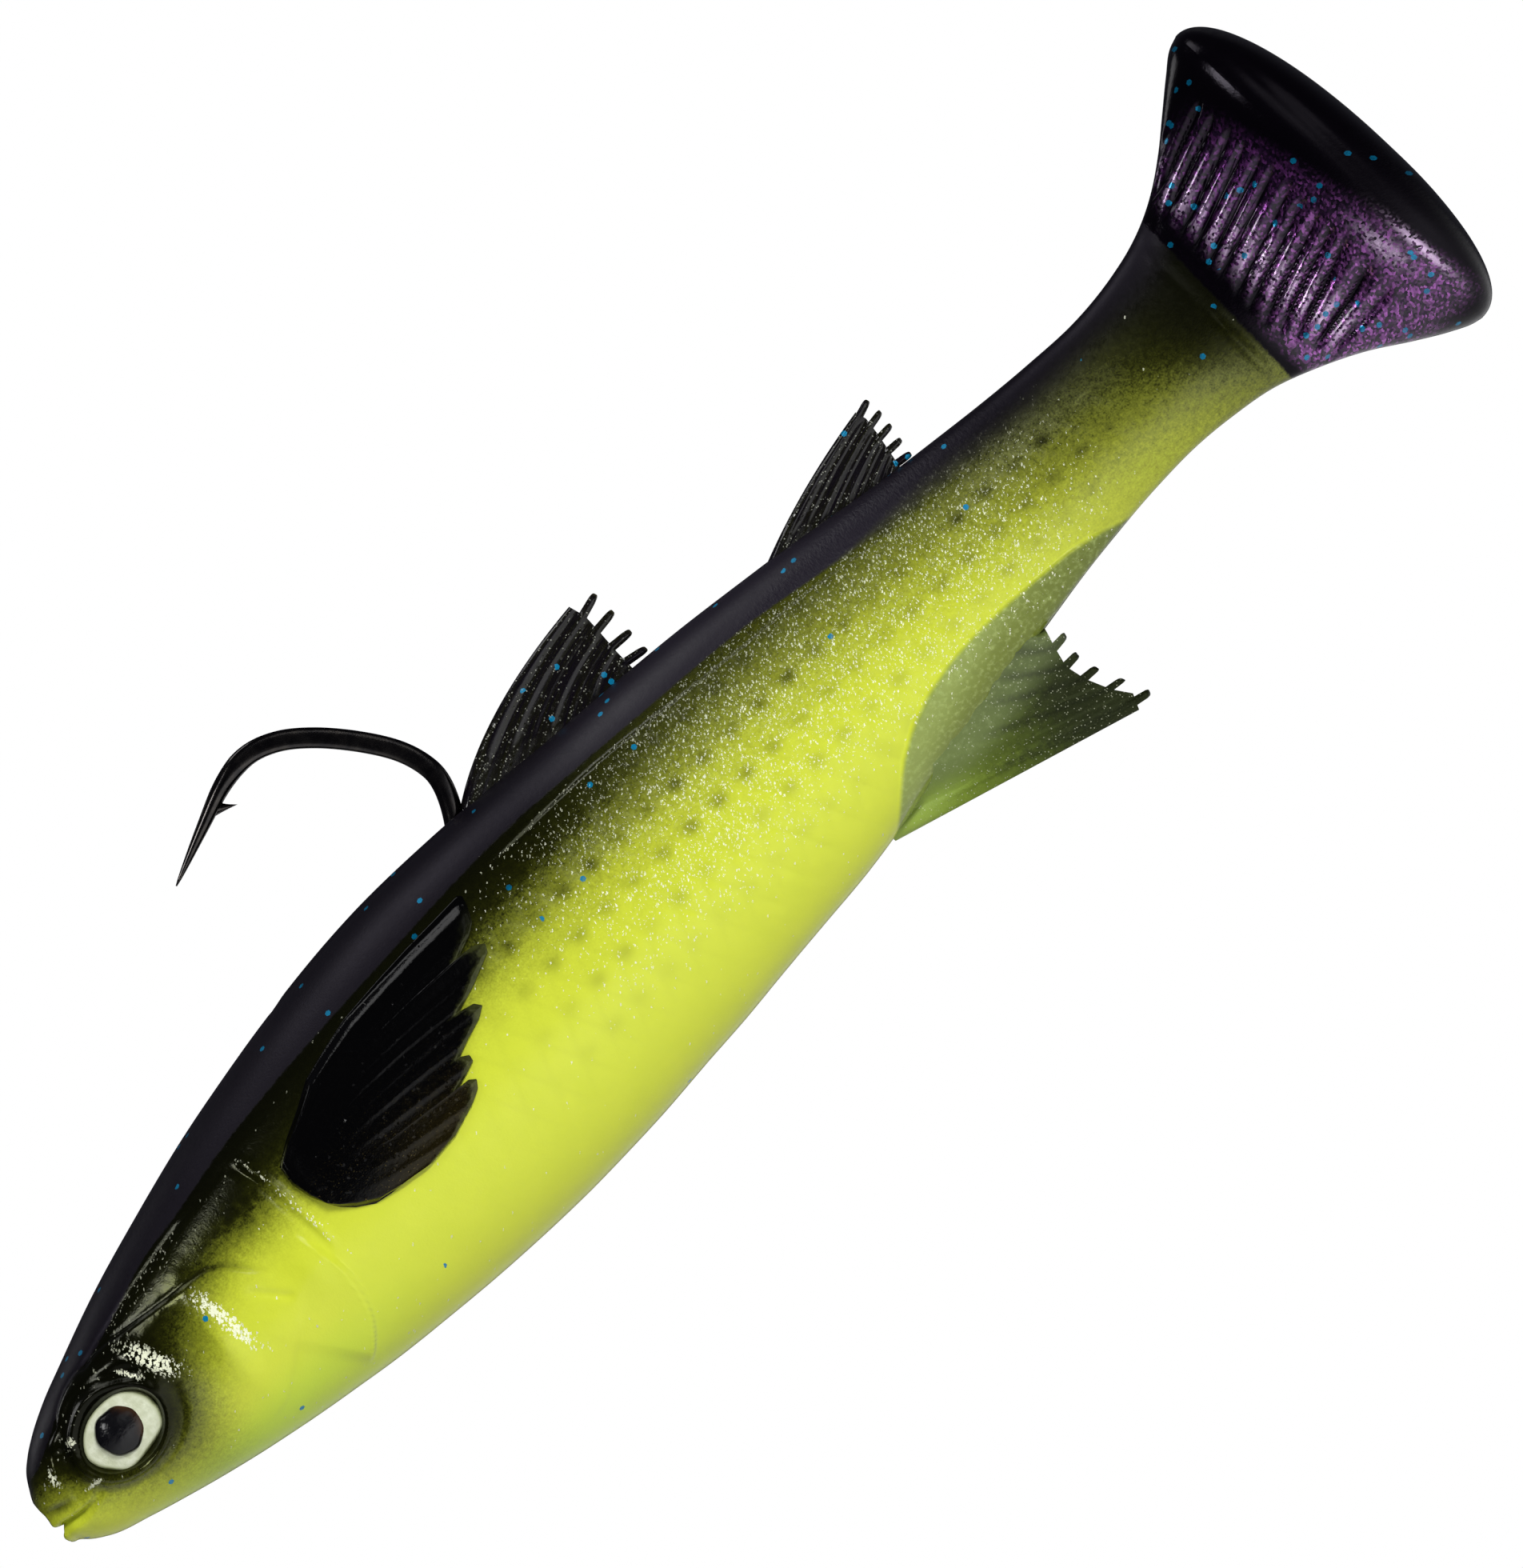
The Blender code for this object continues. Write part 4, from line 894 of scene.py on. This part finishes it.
def lead_material():
    n = Nodes("cast_lead")
    coordinates = n.new("TexCoord", output="Object")
    coarse = n.noise(coordinates, 380.0, 5.0, 0.6)
    fine = n.noise(coordinates, 2600.0, 3.0, 0.6)
    colour = n.mix(n.ramp(coarse, 0.3, 0.7), (0.09, 0.095, 0.105), (0.24, 0.245, 0.26))
    n.set(Base_Color=colour, Roughness=0.36 + coarse * 0.3, Metallic=0.9,
          Normal=n.bump(coarse + fine * 0.4, 0.00015, 0.7))
    return n.material


# Pieces built from two-sided grids


def shell_mesh(name, outer, inner, place, spot, weld=False):
    """A closed mesh from two facing grids of the same size, stitched round their edge."""
    rows, columns = outer.shape[:2]
    index = np.arange(rows * columns).reshape(rows, columns)
    far = index + rows * columns
    quads = np.stack([index[:-1, :-1], index[1:, :-1], index[1:, 1:], index[:-1, 1:]], -1).reshape(-1, 4)
    back = np.stack([far[:-1, :-1], far[:-1, 1:], far[1:, 1:], far[1:, :-1]], -1).reshape(-1, 4)
    rim = np.concatenate([index[0, :-1], index[:-1, -1], index[-1, :0:-1], index[:0:-1, 0]])
    rim_far = rim + rows * columns
    walls = np.stack([rim, np.roll(rim, -1), np.roll(rim_far, -1), rim_far], -1)
    verts = np.concatenate([outer.reshape(-1, 3), inner.reshape(-1, 3)])
    faces = np.concatenate([quads, back, walls])
    fields = {"fin_place": np.stack([place, place]), "fin_spot": np.stack([spot, spot])}
    return solid_mesh(name, verts.tolist(), faces.tolist(), fields, weld)


def path_at(points):
    """A place on a polyline by its share of the length."""
    points = np.array(points, float)
    steps = np.linalg.norm(np.diff(points, axis=0), axis=1)
    share = np.concatenate([[0], np.cumsum(steps)]) / steps.sum()
    return lambda r: np.array([np.interp(r, share, points[:, k]) for k in (0, 1)])


FIN_ROWS, FIN_COLUMNS, FINGER_COLUMNS = 301, 90, 14
FINGER_START = 0.9


def upright_fin(name, starts, edge, bends, fingers, material, finger_half, finger_long, root=None):
    """A thin fin in the middle plane. A ray runs to each finger of its rear edge: (share, direction)."""
    centres = np.array([share for share, _ in fingers])
    angles = np.radians([angle for _, angle in fingers])
    spots = np.array([edge(r) for r in np.linspace(0, 1, 40)])
    half_share = finger_half / np.linalg.norm(np.diff(spots, axis=0), axis=1).sum()

    across = np.linspace(0, 1, FIN_ROWS)
    web, finger = np.linspace(0, 1, FIN_COLUMNS)[:, None], np.linspace(0, 1, FINGER_COLUMNS)[1:, None]
    along = np.concatenate([web * FINGER_START, FINGER_START + finger * (1 - FINGER_START)])[:, 0]
    grid = np.zeros((FIN_ROWS, len(along), 2))
    for i, r in enumerate(across):
        near = int(np.argmin(np.abs(centres - r)))
        x = min(1.0, abs(r - centres[near]) / half_share)
        reach = 0.04 + finger_long * (1 - x**4) ** 0.25
        way = np.array([math.cos(angles[near]), math.sin(angles[near])])
        grid[i, :FIN_COLUMNS] = (1 - web) * starts(r) + web * edge(r) + 2 * web * (1 - web) * bends(r)
        grid[i, FIN_COLUMNS:] = edge(r) + reach * finger * way
    s, h = grid[..., 0], grid[..., 1]
    r, t = np.meshgrid(across, along, indexing="ij")
    ray = np.exp(-((np.min(np.abs(r[..., None] - centres), -1) / (half_share * 1.05)) ** 2))
    middle_ray = np.abs(np.sin(math.pi * len(fingers) * 2 * r)) ** 4
    half = 0.18 + (0.06 + 0.14 * step(t, 0.84, 0.93)) * ray * step(t, 0.0, 0.3)
    half = half + 0.04 * middle_ray * step(t, 0.1, 0.3) * (1 - step(t, 0.8, 0.92))
    half = half + 0.5 * (1 - step(t, 0.0, 0.3))
    last = np.sqrt(np.clip(1 - step(t, 0.97, 1.0) ** 2, 0, 1))
    side = np.sqrt(np.clip(1 - (1 - np.clip(np.minimum(r, 1 - r) / 0.04, 0, 1)) ** 2, 0, 1))
    lead = 0.12 * bump(r - 0.96, 0.04)
    if root is not None:
        half = np.maximum(half, root(s, h) * step(1 - r, 0.0, 0.25) * step(r, 0.0, 0.08))
    half = np.maximum((half + lead) * last * side, 0.01)
    outer = frame_place(s, -half, h)
    inner = frame_place(s, half, h)
    place = np.stack([t, r, ray], -1)
    spot = np.stack([s, BOTTOM(s) - h, h], -1)
    return link(name, shell_mesh(name, outer, inner, place, spot), material)


# The skin in four pieces, which share the rings where they meet

skin = skin_material()
points, normals, fields = build_skin()
ring_s = ring_places()[:, 0]
PIECES = (
    ("skin_front", 58.0, "belly_plastic", ("body_front", "back_front"), None),
    ("skin_middle", 86.5, "belly_plastic", ("body_middle", "back_middle"),
     ("front", "middle", (69.0, 0), (84.4, 0))),
    ("skin_rear", 101.2, "belly_plastic", ("body_rear", "back_rear"),
     ("middle", "rear", (90.5, 0), (100.1, 0))),
    ("skin_tail", 127.0, "tail_plastic", ("tail_paddle",), ("rear", "tail", (102.0, 0), (110.3, 0))),
)
last_ring = 0
for name, end, slot, nodes, blend in PIECES:
    ring = int(np.argmin(np.abs(ring_s - end)))
    part = slice(last_ring, ring + 1)
    mesh = grid_mesh(name, points[part], normals[part], {key: value[part] for key, value in fields.items()},
                     last_ring == 0, ring == len(ring_s) - 1)
    stands_for(link(name, mesh, skin), slot, *nodes, ride=None if blend else "front", blend=blend)
    last_ring = ring


# Fins

dorsal_plastic = dorsal_material()

first_dorsal = upright_fin(
    "first_dorsal",
    path_at([(66.9, 9.6), (62, 10.2), (57, 11.0), (53.4, 11.9), (52.7, 12.9)]),
    path_at([(67.3, 10.9), (67.35, 12.6), (67.5, 14.3), (67.6, 15.8), (67.3, 17.0)]),
    lambda r: np.array([-0.6 - 1.4 * r, 0.5 + 0.9 * r]),
    [(0.14, -12), (0.36, -6), (0.6, 4), (0.82, 14)],
    dorsal_plastic, 0.3, 1.6,
)
stands_for(first_dorsal, "fin_plastic", "first_dorsal_fin",
           blend=("front", "first_dorsal", (60.0, 11.2), (60.2, 13.0)))

second_dorsal = upright_fin(
    "second_dorsal",
    path_at([(88.9, 6.4), (84, 7.2), (80, 8.0), (78.2, 8.9), (78.3, 9.5)]),
    path_at([(89.1, 7.4), (89.4, 8.8), (89.7, 10.2), (89.9, 11.5), (89.7, 12.3)]),
    lambda r: np.array([-0.5 * r, 0.15 + 0.4 * r]),
    [(0.12, -10), (0.32, -4), (0.53, 2), (0.73, 8), (0.93, 16)],
    dorsal_plastic, 0.26, 1.1,
)
stands_for(second_dorsal, "fin_plastic", "second_dorsal_fin",
           blend=("middle", "second_dorsal", (84.0, 8.3), (84.2, 10.0)))


def lobe_web(s, h):
    """How thick each side of the anal fin's foot is where the body's lobe runs down into it."""
    depth = h - BOTTOM(s)
    foot = flank_y(s, BOTTOM(s) + 1.8) + 0.25
    down = foot * (1 - np.clip((1.8 - depth) / 6.5, 0, 1)) ** 1.6
    return np.where(depth > 1.8, np.minimum(foot, flank_y(s, h) - 0.9), down)


anal_fin = upright_fin(
    "anal_fin_rays",
    path_at([(89.2, -3.6), (85, -3.9), (80, -4.5), (75, -5.8), (71.2, -7.4), (71.2, -9.3)]),
    path_at([(88.2, -6.4), (87.7, -7.9), (87.3, -9.4), (87.6, -10.9), (88.3, -12.6), (89.1, -13.8),
             (88.6, -14.85)]),
    lambda r: np.array([-2.0 * (1 - r), -0.8 + 0.8 * r]),
    [(0.18, 2), (0.34, 0), (0.5, -6), (0.7, -10), (0.93, -14)],
    anal_material(), 0.3, 1.1, lobe_web,
)
stands_for(anal_fin, "anal_fin_plastic", "anal_fin", blend=("middle", "anal", (79.0, -8.3), (79.3, -10.2)))

PECTORAL_TOP = [
    (27.6, 5.0), (29.2, 5.95), (31.1, 6.8), (32.9, 7.75), (34.8, 8.2), (37.5, 8.73), (40.5, 8.9),
    (43.5, 9.0), (48.5, 9.0),
]
PECTORAL_RIM = [
    (48.5, 9.0), (48.75, 8.8), (48.5, 8.0), (48.0, 7.1), (47.2, 6.6), (45.9, 6.15), (46.9, 5.95),
    (47.6, 5.5), (47.3, 5.0), (46.2, 4.55), (45.0, 4.1), (43.2, 3.6), (44.2, 3.3), (44.55, 2.8),
    (43.8, 2.35), (42.4, 1.95), (41.07, 1.5), (41.6, 1.15), (41.5, 0.7), (40.6, 0.4), (39.5, 0.15),
    (40.4, 0.05), (40.8, -0.3), (40.4, -0.8), (39.4, -1.25), (37.1, -1.89), (34.8, -2.04), (32.9, -1.66),
]
PECTORAL_LOW = [(28.1, 1.0), (28.5, 0.3), (29.2, -0.45), (30.3, -1.23), (31.5, -1.5), (32.9, -1.66)]
PECTORAL_RAYS = 12


def pectoral(name, sign, material):
    """A low relief fin on the flank: curved rays fanning from its base to ragged clear tips."""
    rim = path_at(PECTORAL_RIM)
    top, low = path_at(PECTORAL_TOP), path_at(PECTORAL_LOW)
    base = path_at([(27.6, 5.0), (27.35, 3.6), (27.6, 2.2), (28.1, 1.0)])
    across, along = np.linspace(0, 1, 241), np.linspace(0, 1, 110)
    upper = np.array([top(t) for t in along])
    lower = np.array([low(t) for t in along])

    def ruling(r):
        return (1 - along)[:, None] * base(r) + along[:, None] * rim(r)

    # a smooth patch between the four edges
    grid = np.array([(1 - r) * (upper - ruling(0)) + r * (lower - ruling(1)) + ruling(r) for r in across])
    s, h = grid[..., 0], grid[..., 1]
    r, t = np.meshgrid(across, along, indexing="ij")
    wave = np.abs(np.sin(math.pi * (PECTORAL_RAYS * r**0.9 + 0.14 * noise_field(r * 6, t * 3, 1, 5))))
    proud = 0.75 - 0.3 * step(t, 0.1, 0.9)
    clear_base = step(t, 0.25, 0.65) * (1 - 0.6 * step(r, 0.6, 0.85) * (1 - step(t, 0.5, 0.9)))
    proud = proud + 0.055 * (wave**4 - 0.3) * clear_base
    proud = proud + 0.12 * bump(t - 0.03, 0.06)
    rim_drop = step(t, 0.965, 1.0) * 0.2 + 0.6 * (1 - step(np.minimum(r, 1 - r), 0.0, 0.05))
    rim_drop = rim_drop + 0.4 * (1 - step(t, 0, 0.02))
    proud = np.maximum(proud - rim_drop, 0.05)
    y = flank_y(s, h)
    outer = frame_place(s, sign * (y + proud), h)
    inner = frame_place(s, sign * (y - 0.5), h)
    place = np.stack([t, r, 0 * t], -1)
    spot = np.stack([s, 0 * s, h], -1)
    return link(name, shell_mesh(name, outer, inner, place, spot), material)


def pectoral_material():
    n = Nodes("pectoral_fin_plastic")
    t, across, _ = n.split(n.attribute("fin_place"))
    s, _, h = n.split(n.attribute("fin_spot"))
    flat = n.join(s, h, 0.0)
    grain, speck = n.cloudy(flat)
    low = n.ramp(across + (grain - 0.5) * 0.35, 0.5, 0.85)
    colour = n.mix(low * n.ramp(t, 0.3, 0.9), (0.0016, 0.0016, 0.0018), (0.02, 0.015, 0.003))
    gold = n.ramp(speck, 0.6, 0.7) * n.ramp(across, 0.3, 0.9) * n.ramp(grain, 0.4, 0.65)
    colour = n.mix(gold * 0.6, colour, (0.22, 0.17, 0.05))
    tips = n.ramp(t + (grain - 0.5) * 0.1, 0.93, 1.01) * n.ramp(across, 0.02, 0.2)
    colour = n.mix(tips * 0.5, colour, (0.16, 0.18, 0.05))
    rough = 0.08 + grain * 0.1
    cells = n.cells(flat, 6.5)
    sparks = n.less(n.split(cells["Color"])[1], n.ramp(across, 0.15, 0.7, 0.01, 0.07)) * 0.5
    normal = n.facets(n.bump(grain * 0.8 + speck * 0.3, 0.00005, 0.6), cells["Color"], sparks)
    n.set(Base_Color=colour, Roughness=rough, Metallic=0.55, Normal=normal, IOR=1.5)
    return n.material


pectoral_plastic = pectoral_material()
for side_name, sign in (("left", -1), ("right", 1)):
    fin = pectoral(f"pectoral_{side_name}", sign, pectoral_plastic)
    stands_for(fin, "fin_plastic", f"pectoral_fin_{side_name}", ride="front")


# Eyes

RING_OUTLINE = [
    (10.72, 0.3), (10.7, 0.95), (10.2, 1.85), (9.3, 2.6), (7.76, 2.75), (6.5, 2.55), (5.4, 1.85),
    (4.76, 0.88), (4.85, 0.0), (5.3, -0.75), (6.35, -1.85), (8.29, -1.7), (10.0, -1.32), (10.62, -0.4),
]


def eye_cap(name, centre, radius_at, edge_y, dome, sign, material):
    """A domed disc on the flank: rows run from its middle to its rim."""
    rows, columns = 34, 97
    rho = np.linspace(0.02, 1, rows)[:, None]
    angle = np.linspace(0, 2 * math.pi, columns)[None, :]
    radius = radius_at(angle)
    s = centre[0] + rho * radius * np.cos(angle)
    h = centre[1] + rho * radius * np.sin(angle)
    y = edge_y(s, h) + dome * (1 - rho**2) ** 0.5
    drop = 0.35 * step(rho, 0.9, 1.0) ** 2
    outer = frame_place(s, sign * (y - drop), h)
    inner = frame_place(s, sign * (edge_y(s, h) - 1.2), h)
    place = np.stack([rho + 0 * s, angle + 0 * s, 0 * s], -1)
    spot = np.stack([s, 0 * s, h], -1)
    return link(name, shell_mesh(name, outer, inner, place, spot, weld=True), material)


def ring_radius():
    line = smooth_line([*RING_OUTLINE, RING_OUTLINE[0]], 8) - np.array(EYE)
    angles = np.unwrap(np.arctan2(line[:, 1], line[:, 0]))
    radii = np.hypot(*line.T)
    order = np.argsort(angles)
    return lambda a: np.interp(a, angles[order], radii[order], period=2 * math.pi)


cream = ring_material()
black = pupil_material()
for side_name, sign in (("left", -1), ("right", 1)):
    ring = eye_cap(f"eye_ring_{side_name}_detail", EYE, ring_radius(),
                   lambda s, h: flank_y(s, h) - 0.25, 0.12, sign, cream)
    stands_for(ring, "eye_paint", f"eye_ring_{side_name}", ride="front")
    pupil = eye_cap(f"eye_pupil_{side_name}_detail", PUPIL,
                    lambda a: 1.78 + 0.1 * np.cos(2 * a) + 0.05 * np.sin(3 * a + 1) + 0.03 * np.sin(7 * a),
                    lambda s, h: flank_y(*PUPIL) - 0.45 + 0 * s, 1.0, sign, black)
    stands_for(pupil, "pupil_paint", f"eye_pupil_{side_name}", ride="front")


# Hook

WIRE = 1.4
EYE_BEND = 1.55
HOOK_ROUTE = [
    (7, 0.75), (11.5, 2.2), (18, 4.2), (28, 5.2), (36, 5.5), (41, 6), (45, 7.3), (48.4, 9.2), (50.7, 11.2),
    (52.2, 13.1), (53.1, 15), (53.2, 16.6), (52.6, 18.6), (51.2, 20.9), (49.4, 23.1), (47.5, 24.7),
    (45.4, 25.5), (43, 25.3), (40, 24.3), (36, 22.85),
]
SPEAR = 9.0


def tube_faces(start, rings, sides):
    """The faces of a capped tube whose rings of points follow each other from start."""
    faces = []
    for i in range(start, start + (rings - 1) * sides, sides):
        for k in range(sides):
            m = (k + 1) % sides
            faces.append((i + k, i + m, i + sides + m, i + sides + k))
    ends = [tuple(range(i, i + sides)) for i in (start, start + (rings - 1) * sides)]
    return [*faces, ends[0][::-1], ends[1]]


def hook_mesh(name):
    turns = np.linspace(math.radians(-8), -1.5 * math.pi, 19)
    loop = [(TIE_S + EYE_BEND * math.cos(a), TIE_H + EYE_BEND * math.sin(a)) for a in turns]
    line = smooth_line([*loop, *HOOK_ROUTE], 8)
    steps = np.linalg.norm(np.diff(line, axis=0), axis=1)
    along = np.concatenate([[0], np.cumsum(steps)])
    left = along[-1] - along
    radius = 0.05 + (WIRE / 2 - 0.05) * np.clip(left / SPEAR, 0, 1) ** 0.75
    tangent = np.gradient(line, axis=0)
    tangent /= np.linalg.norm(tangent, axis=1)[:, None]
    across = np.stack([-tangent[:, 1], tangent[:, 0]], -1)
    forged = step(line[:, 1], 14.5, 18) * step(left, 7, 12)
    sides = 28
    spots, places = [], []
    for point, out, size, forge, run in zip(line, across, radius, forged, along):
        square = 1 + forge * 1.6
        for k in range(sides):
            ca, sa = math.cos(2 * math.pi * k / sides), math.sin(2 * math.pi * k / sides)
            shape = size * (abs(ca) ** (2 * square) + abs(sa) ** (2 * square)) ** (-1 / (2 * square))
            place = point + out * shape * ca
            spots.append((place[0], shape * sa * (1 - 0.14 * forge), place[1]))
            places.append((run, k, 0))
    faces = tube_faces(0, len(line), sides)
    # the barb: a blade rising from the inner side behind the point
    point = np.array(HOOK_ROUTE[-1], float)
    heading = np.array(HOOK_ROUTE[-2], float) - point
    heading /= np.linalg.norm(heading)
    inward = np.array([heading[1], -heading[0]])
    if inward[1] > 0:
        inward = -inward
    root = point + 4.2 * heading
    tip = root + 2.4 * heading + 1.5 * inward
    blade = []
    base_front, base_back = root - 0.2 * inward, root + 2.0 * heading - 0.2 * inward
    for w in np.linspace(0, 1, 9):
        front = base_front * (1 - w) + tip * w - inward * 0.1 * math.sin(math.pi * w)
        back = base_back * (1 - w) + tip * w - heading * 0.12 * math.sin(math.pi * w)
        half = 0.34 * (1 - w) + 0.03
        middle = (front + back) / 2
        blade.append([(front, 0.0), (middle, half), (back, 0.0), (middle, -half)])
    faces += tube_faces(len(spots), len(blade), 4)
    spots += [(place[0], v, place[1]) for row in blade for place, v in row]
    places += [(0, 0, 0)] * (4 * len(blade))
    verts = frame_place(*np.array(spots).T)
    return solid_mesh(name, verts.tolist(), faces, {"fin_place": places, "fin_spot": spots})


hook = link("hook_wire", hook_mesh("hook_wire"), steel_material())
stands_for(hook, "hook_steel", "jig_hook", ride="front")

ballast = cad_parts["lead_ballast"]
for slot in ballast.material_slots:
    slot.material = lead_material()


# Floor, camera and light

ANGLE = math.radians(46)
RIGHT = Vector((math.cos(ANGLE), 0, -math.sin(ANGLE)))
UP = Vector((math.sin(ANGLE), 0, math.cos(ANGLE)))
TOWARDS = Vector((0, -1, 0))
CENTRE = Vector((0.06355, 0, 0.0007))
VIEW_HEIGHT = 0.1037
FLOOR_Z = -0.17

camera_data = bpy.data.cameras.new("camera")
camera_data.sensor_fit = "VERTICAL"
camera_data.sensor_height = 36.0
camera_data.lens = 500.0
camera_data.clip_start = 0.01
camera = bpy.data.objects.new("camera", camera_data)
DISTANCE = VIEW_HEIGHT * camera_data.lens / camera_data.sensor_height
turn = Matrix((RIGHT, UP, TOWARDS)).transposed()
camera.matrix_world = Matrix.Translation(CENTRE + TOWARDS * DISTANCE) @ turn.to_4x4()
bpy.context.scene.collection.objects.link(camera)
bpy.context.scene.camera = camera


def softbox(name, direction, distance, width, height, power):
    data = bpy.data.lights.new(name, "AREA")
    data.shape = "RECTANGLE"
    data.size = width
    data.size_y = height
    data.energy = power
    obj = bpy.data.objects.new(name, data)
    away = Vector(direction).normalized()
    obj.location = CENTRE + away * distance
    obj.rotation_euler = away.to_track_quat("Z", "Y").to_euler()
    bpy.context.scene.collection.objects.link(obj)
    return obj


def both_sides(name, up, right, towards, distance, width, height, power, glossy=True):
    """The same softbox on the left and on the right of the bait."""
    for tag, sign in (("left", 1), ("right", -1)):
        direction = UP * up + RIGHT * right + TOWARDS * towards * sign
        share = 1 if sign > 0 else (0.15 if glossy else 0.5)
        lamp = softbox(f"{name}_{tag}", direction, distance, width, height, power * share)
        lamp.visible_glossy = glossy


both_sides("key", 0.5, 0.02, 0.86, 0.6, 0.24, 0.09, 1.7, glossy=False)
both_sides("spark", 0.5, 0.02, 0.86, 0.6, 0.24, 0.09, 0.9)
both_sides("low", -0.9, -0.26, 0.34, 0.7, 0.3, 0.12, 4.2)
both_sides("snout", 0.1, -0.8, 0.6, 0.7, 0.16, 0.22, 0.9)
both_sides("back", 0.69, -0.72, 0.0, 0.5, 0.2, 0.2, 0.28)
both_sides("fill", -0.1, 0.1, 1.0, 0.9, 0.6, 0.6, 1.2, glossy=False)

world = bpy.data.worlds.new("studio")
world.use_nodes = True
tree = world.node_tree
background = tree.nodes["Background"]
path = tree.nodes.new("ShaderNodeLightPath")
# white behind the object, a dim room in its gloss, and soft light all round
shown = (0.13, 0.13, 0.14, 1)
for ray, colour in (("Is Glossy Ray", (0.03, 0.03, 0.038, 1)), ("Is Camera Ray", (1, 1, 1, 1))):
    mix = tree.nodes.new("ShaderNodeMix")
    mix.data_type = "RGBA"
    tree.links.new(path.outputs[ray], mix.inputs[0])
    if isinstance(shown, bpy.types.NodeSocket):
        tree.links.new(shown, mix.inputs[6])
    else:
        mix.inputs[6].default_value = shown
    mix.inputs[7].default_value = colour
    shown = mix.outputs[2]
tree.links.new(shown, background.inputs["Color"])
bpy.context.scene.world = world

floor_mesh = bpy.data.meshes.new("floor")
floor_corners = [(x, y, FLOOR_Z) for x, y in ((-3, -3), (3, -3), (3, 0.85), (-3, 0.85))]
floor_mesh.from_pydata(floor_corners, [], [(0, 1, 2, 3)])
floor_nodes = Nodes("studio_floor")
coordinates = floor_nodes.new("TexCoord", output="Object")
cloud = floor_nodes.noise(coordinates, 6.0, 2.0)
floor_nodes.set(Base_Color=floor_nodes.mix(cloud, (0.86, 0.86, 0.86), (0.9, 0.9, 0.9)), Roughness=0.7)
floor = link("floor", floor_mesh, floor_nodes.material)

bpy.context.scene.view_settings.view_transform = "Standard"
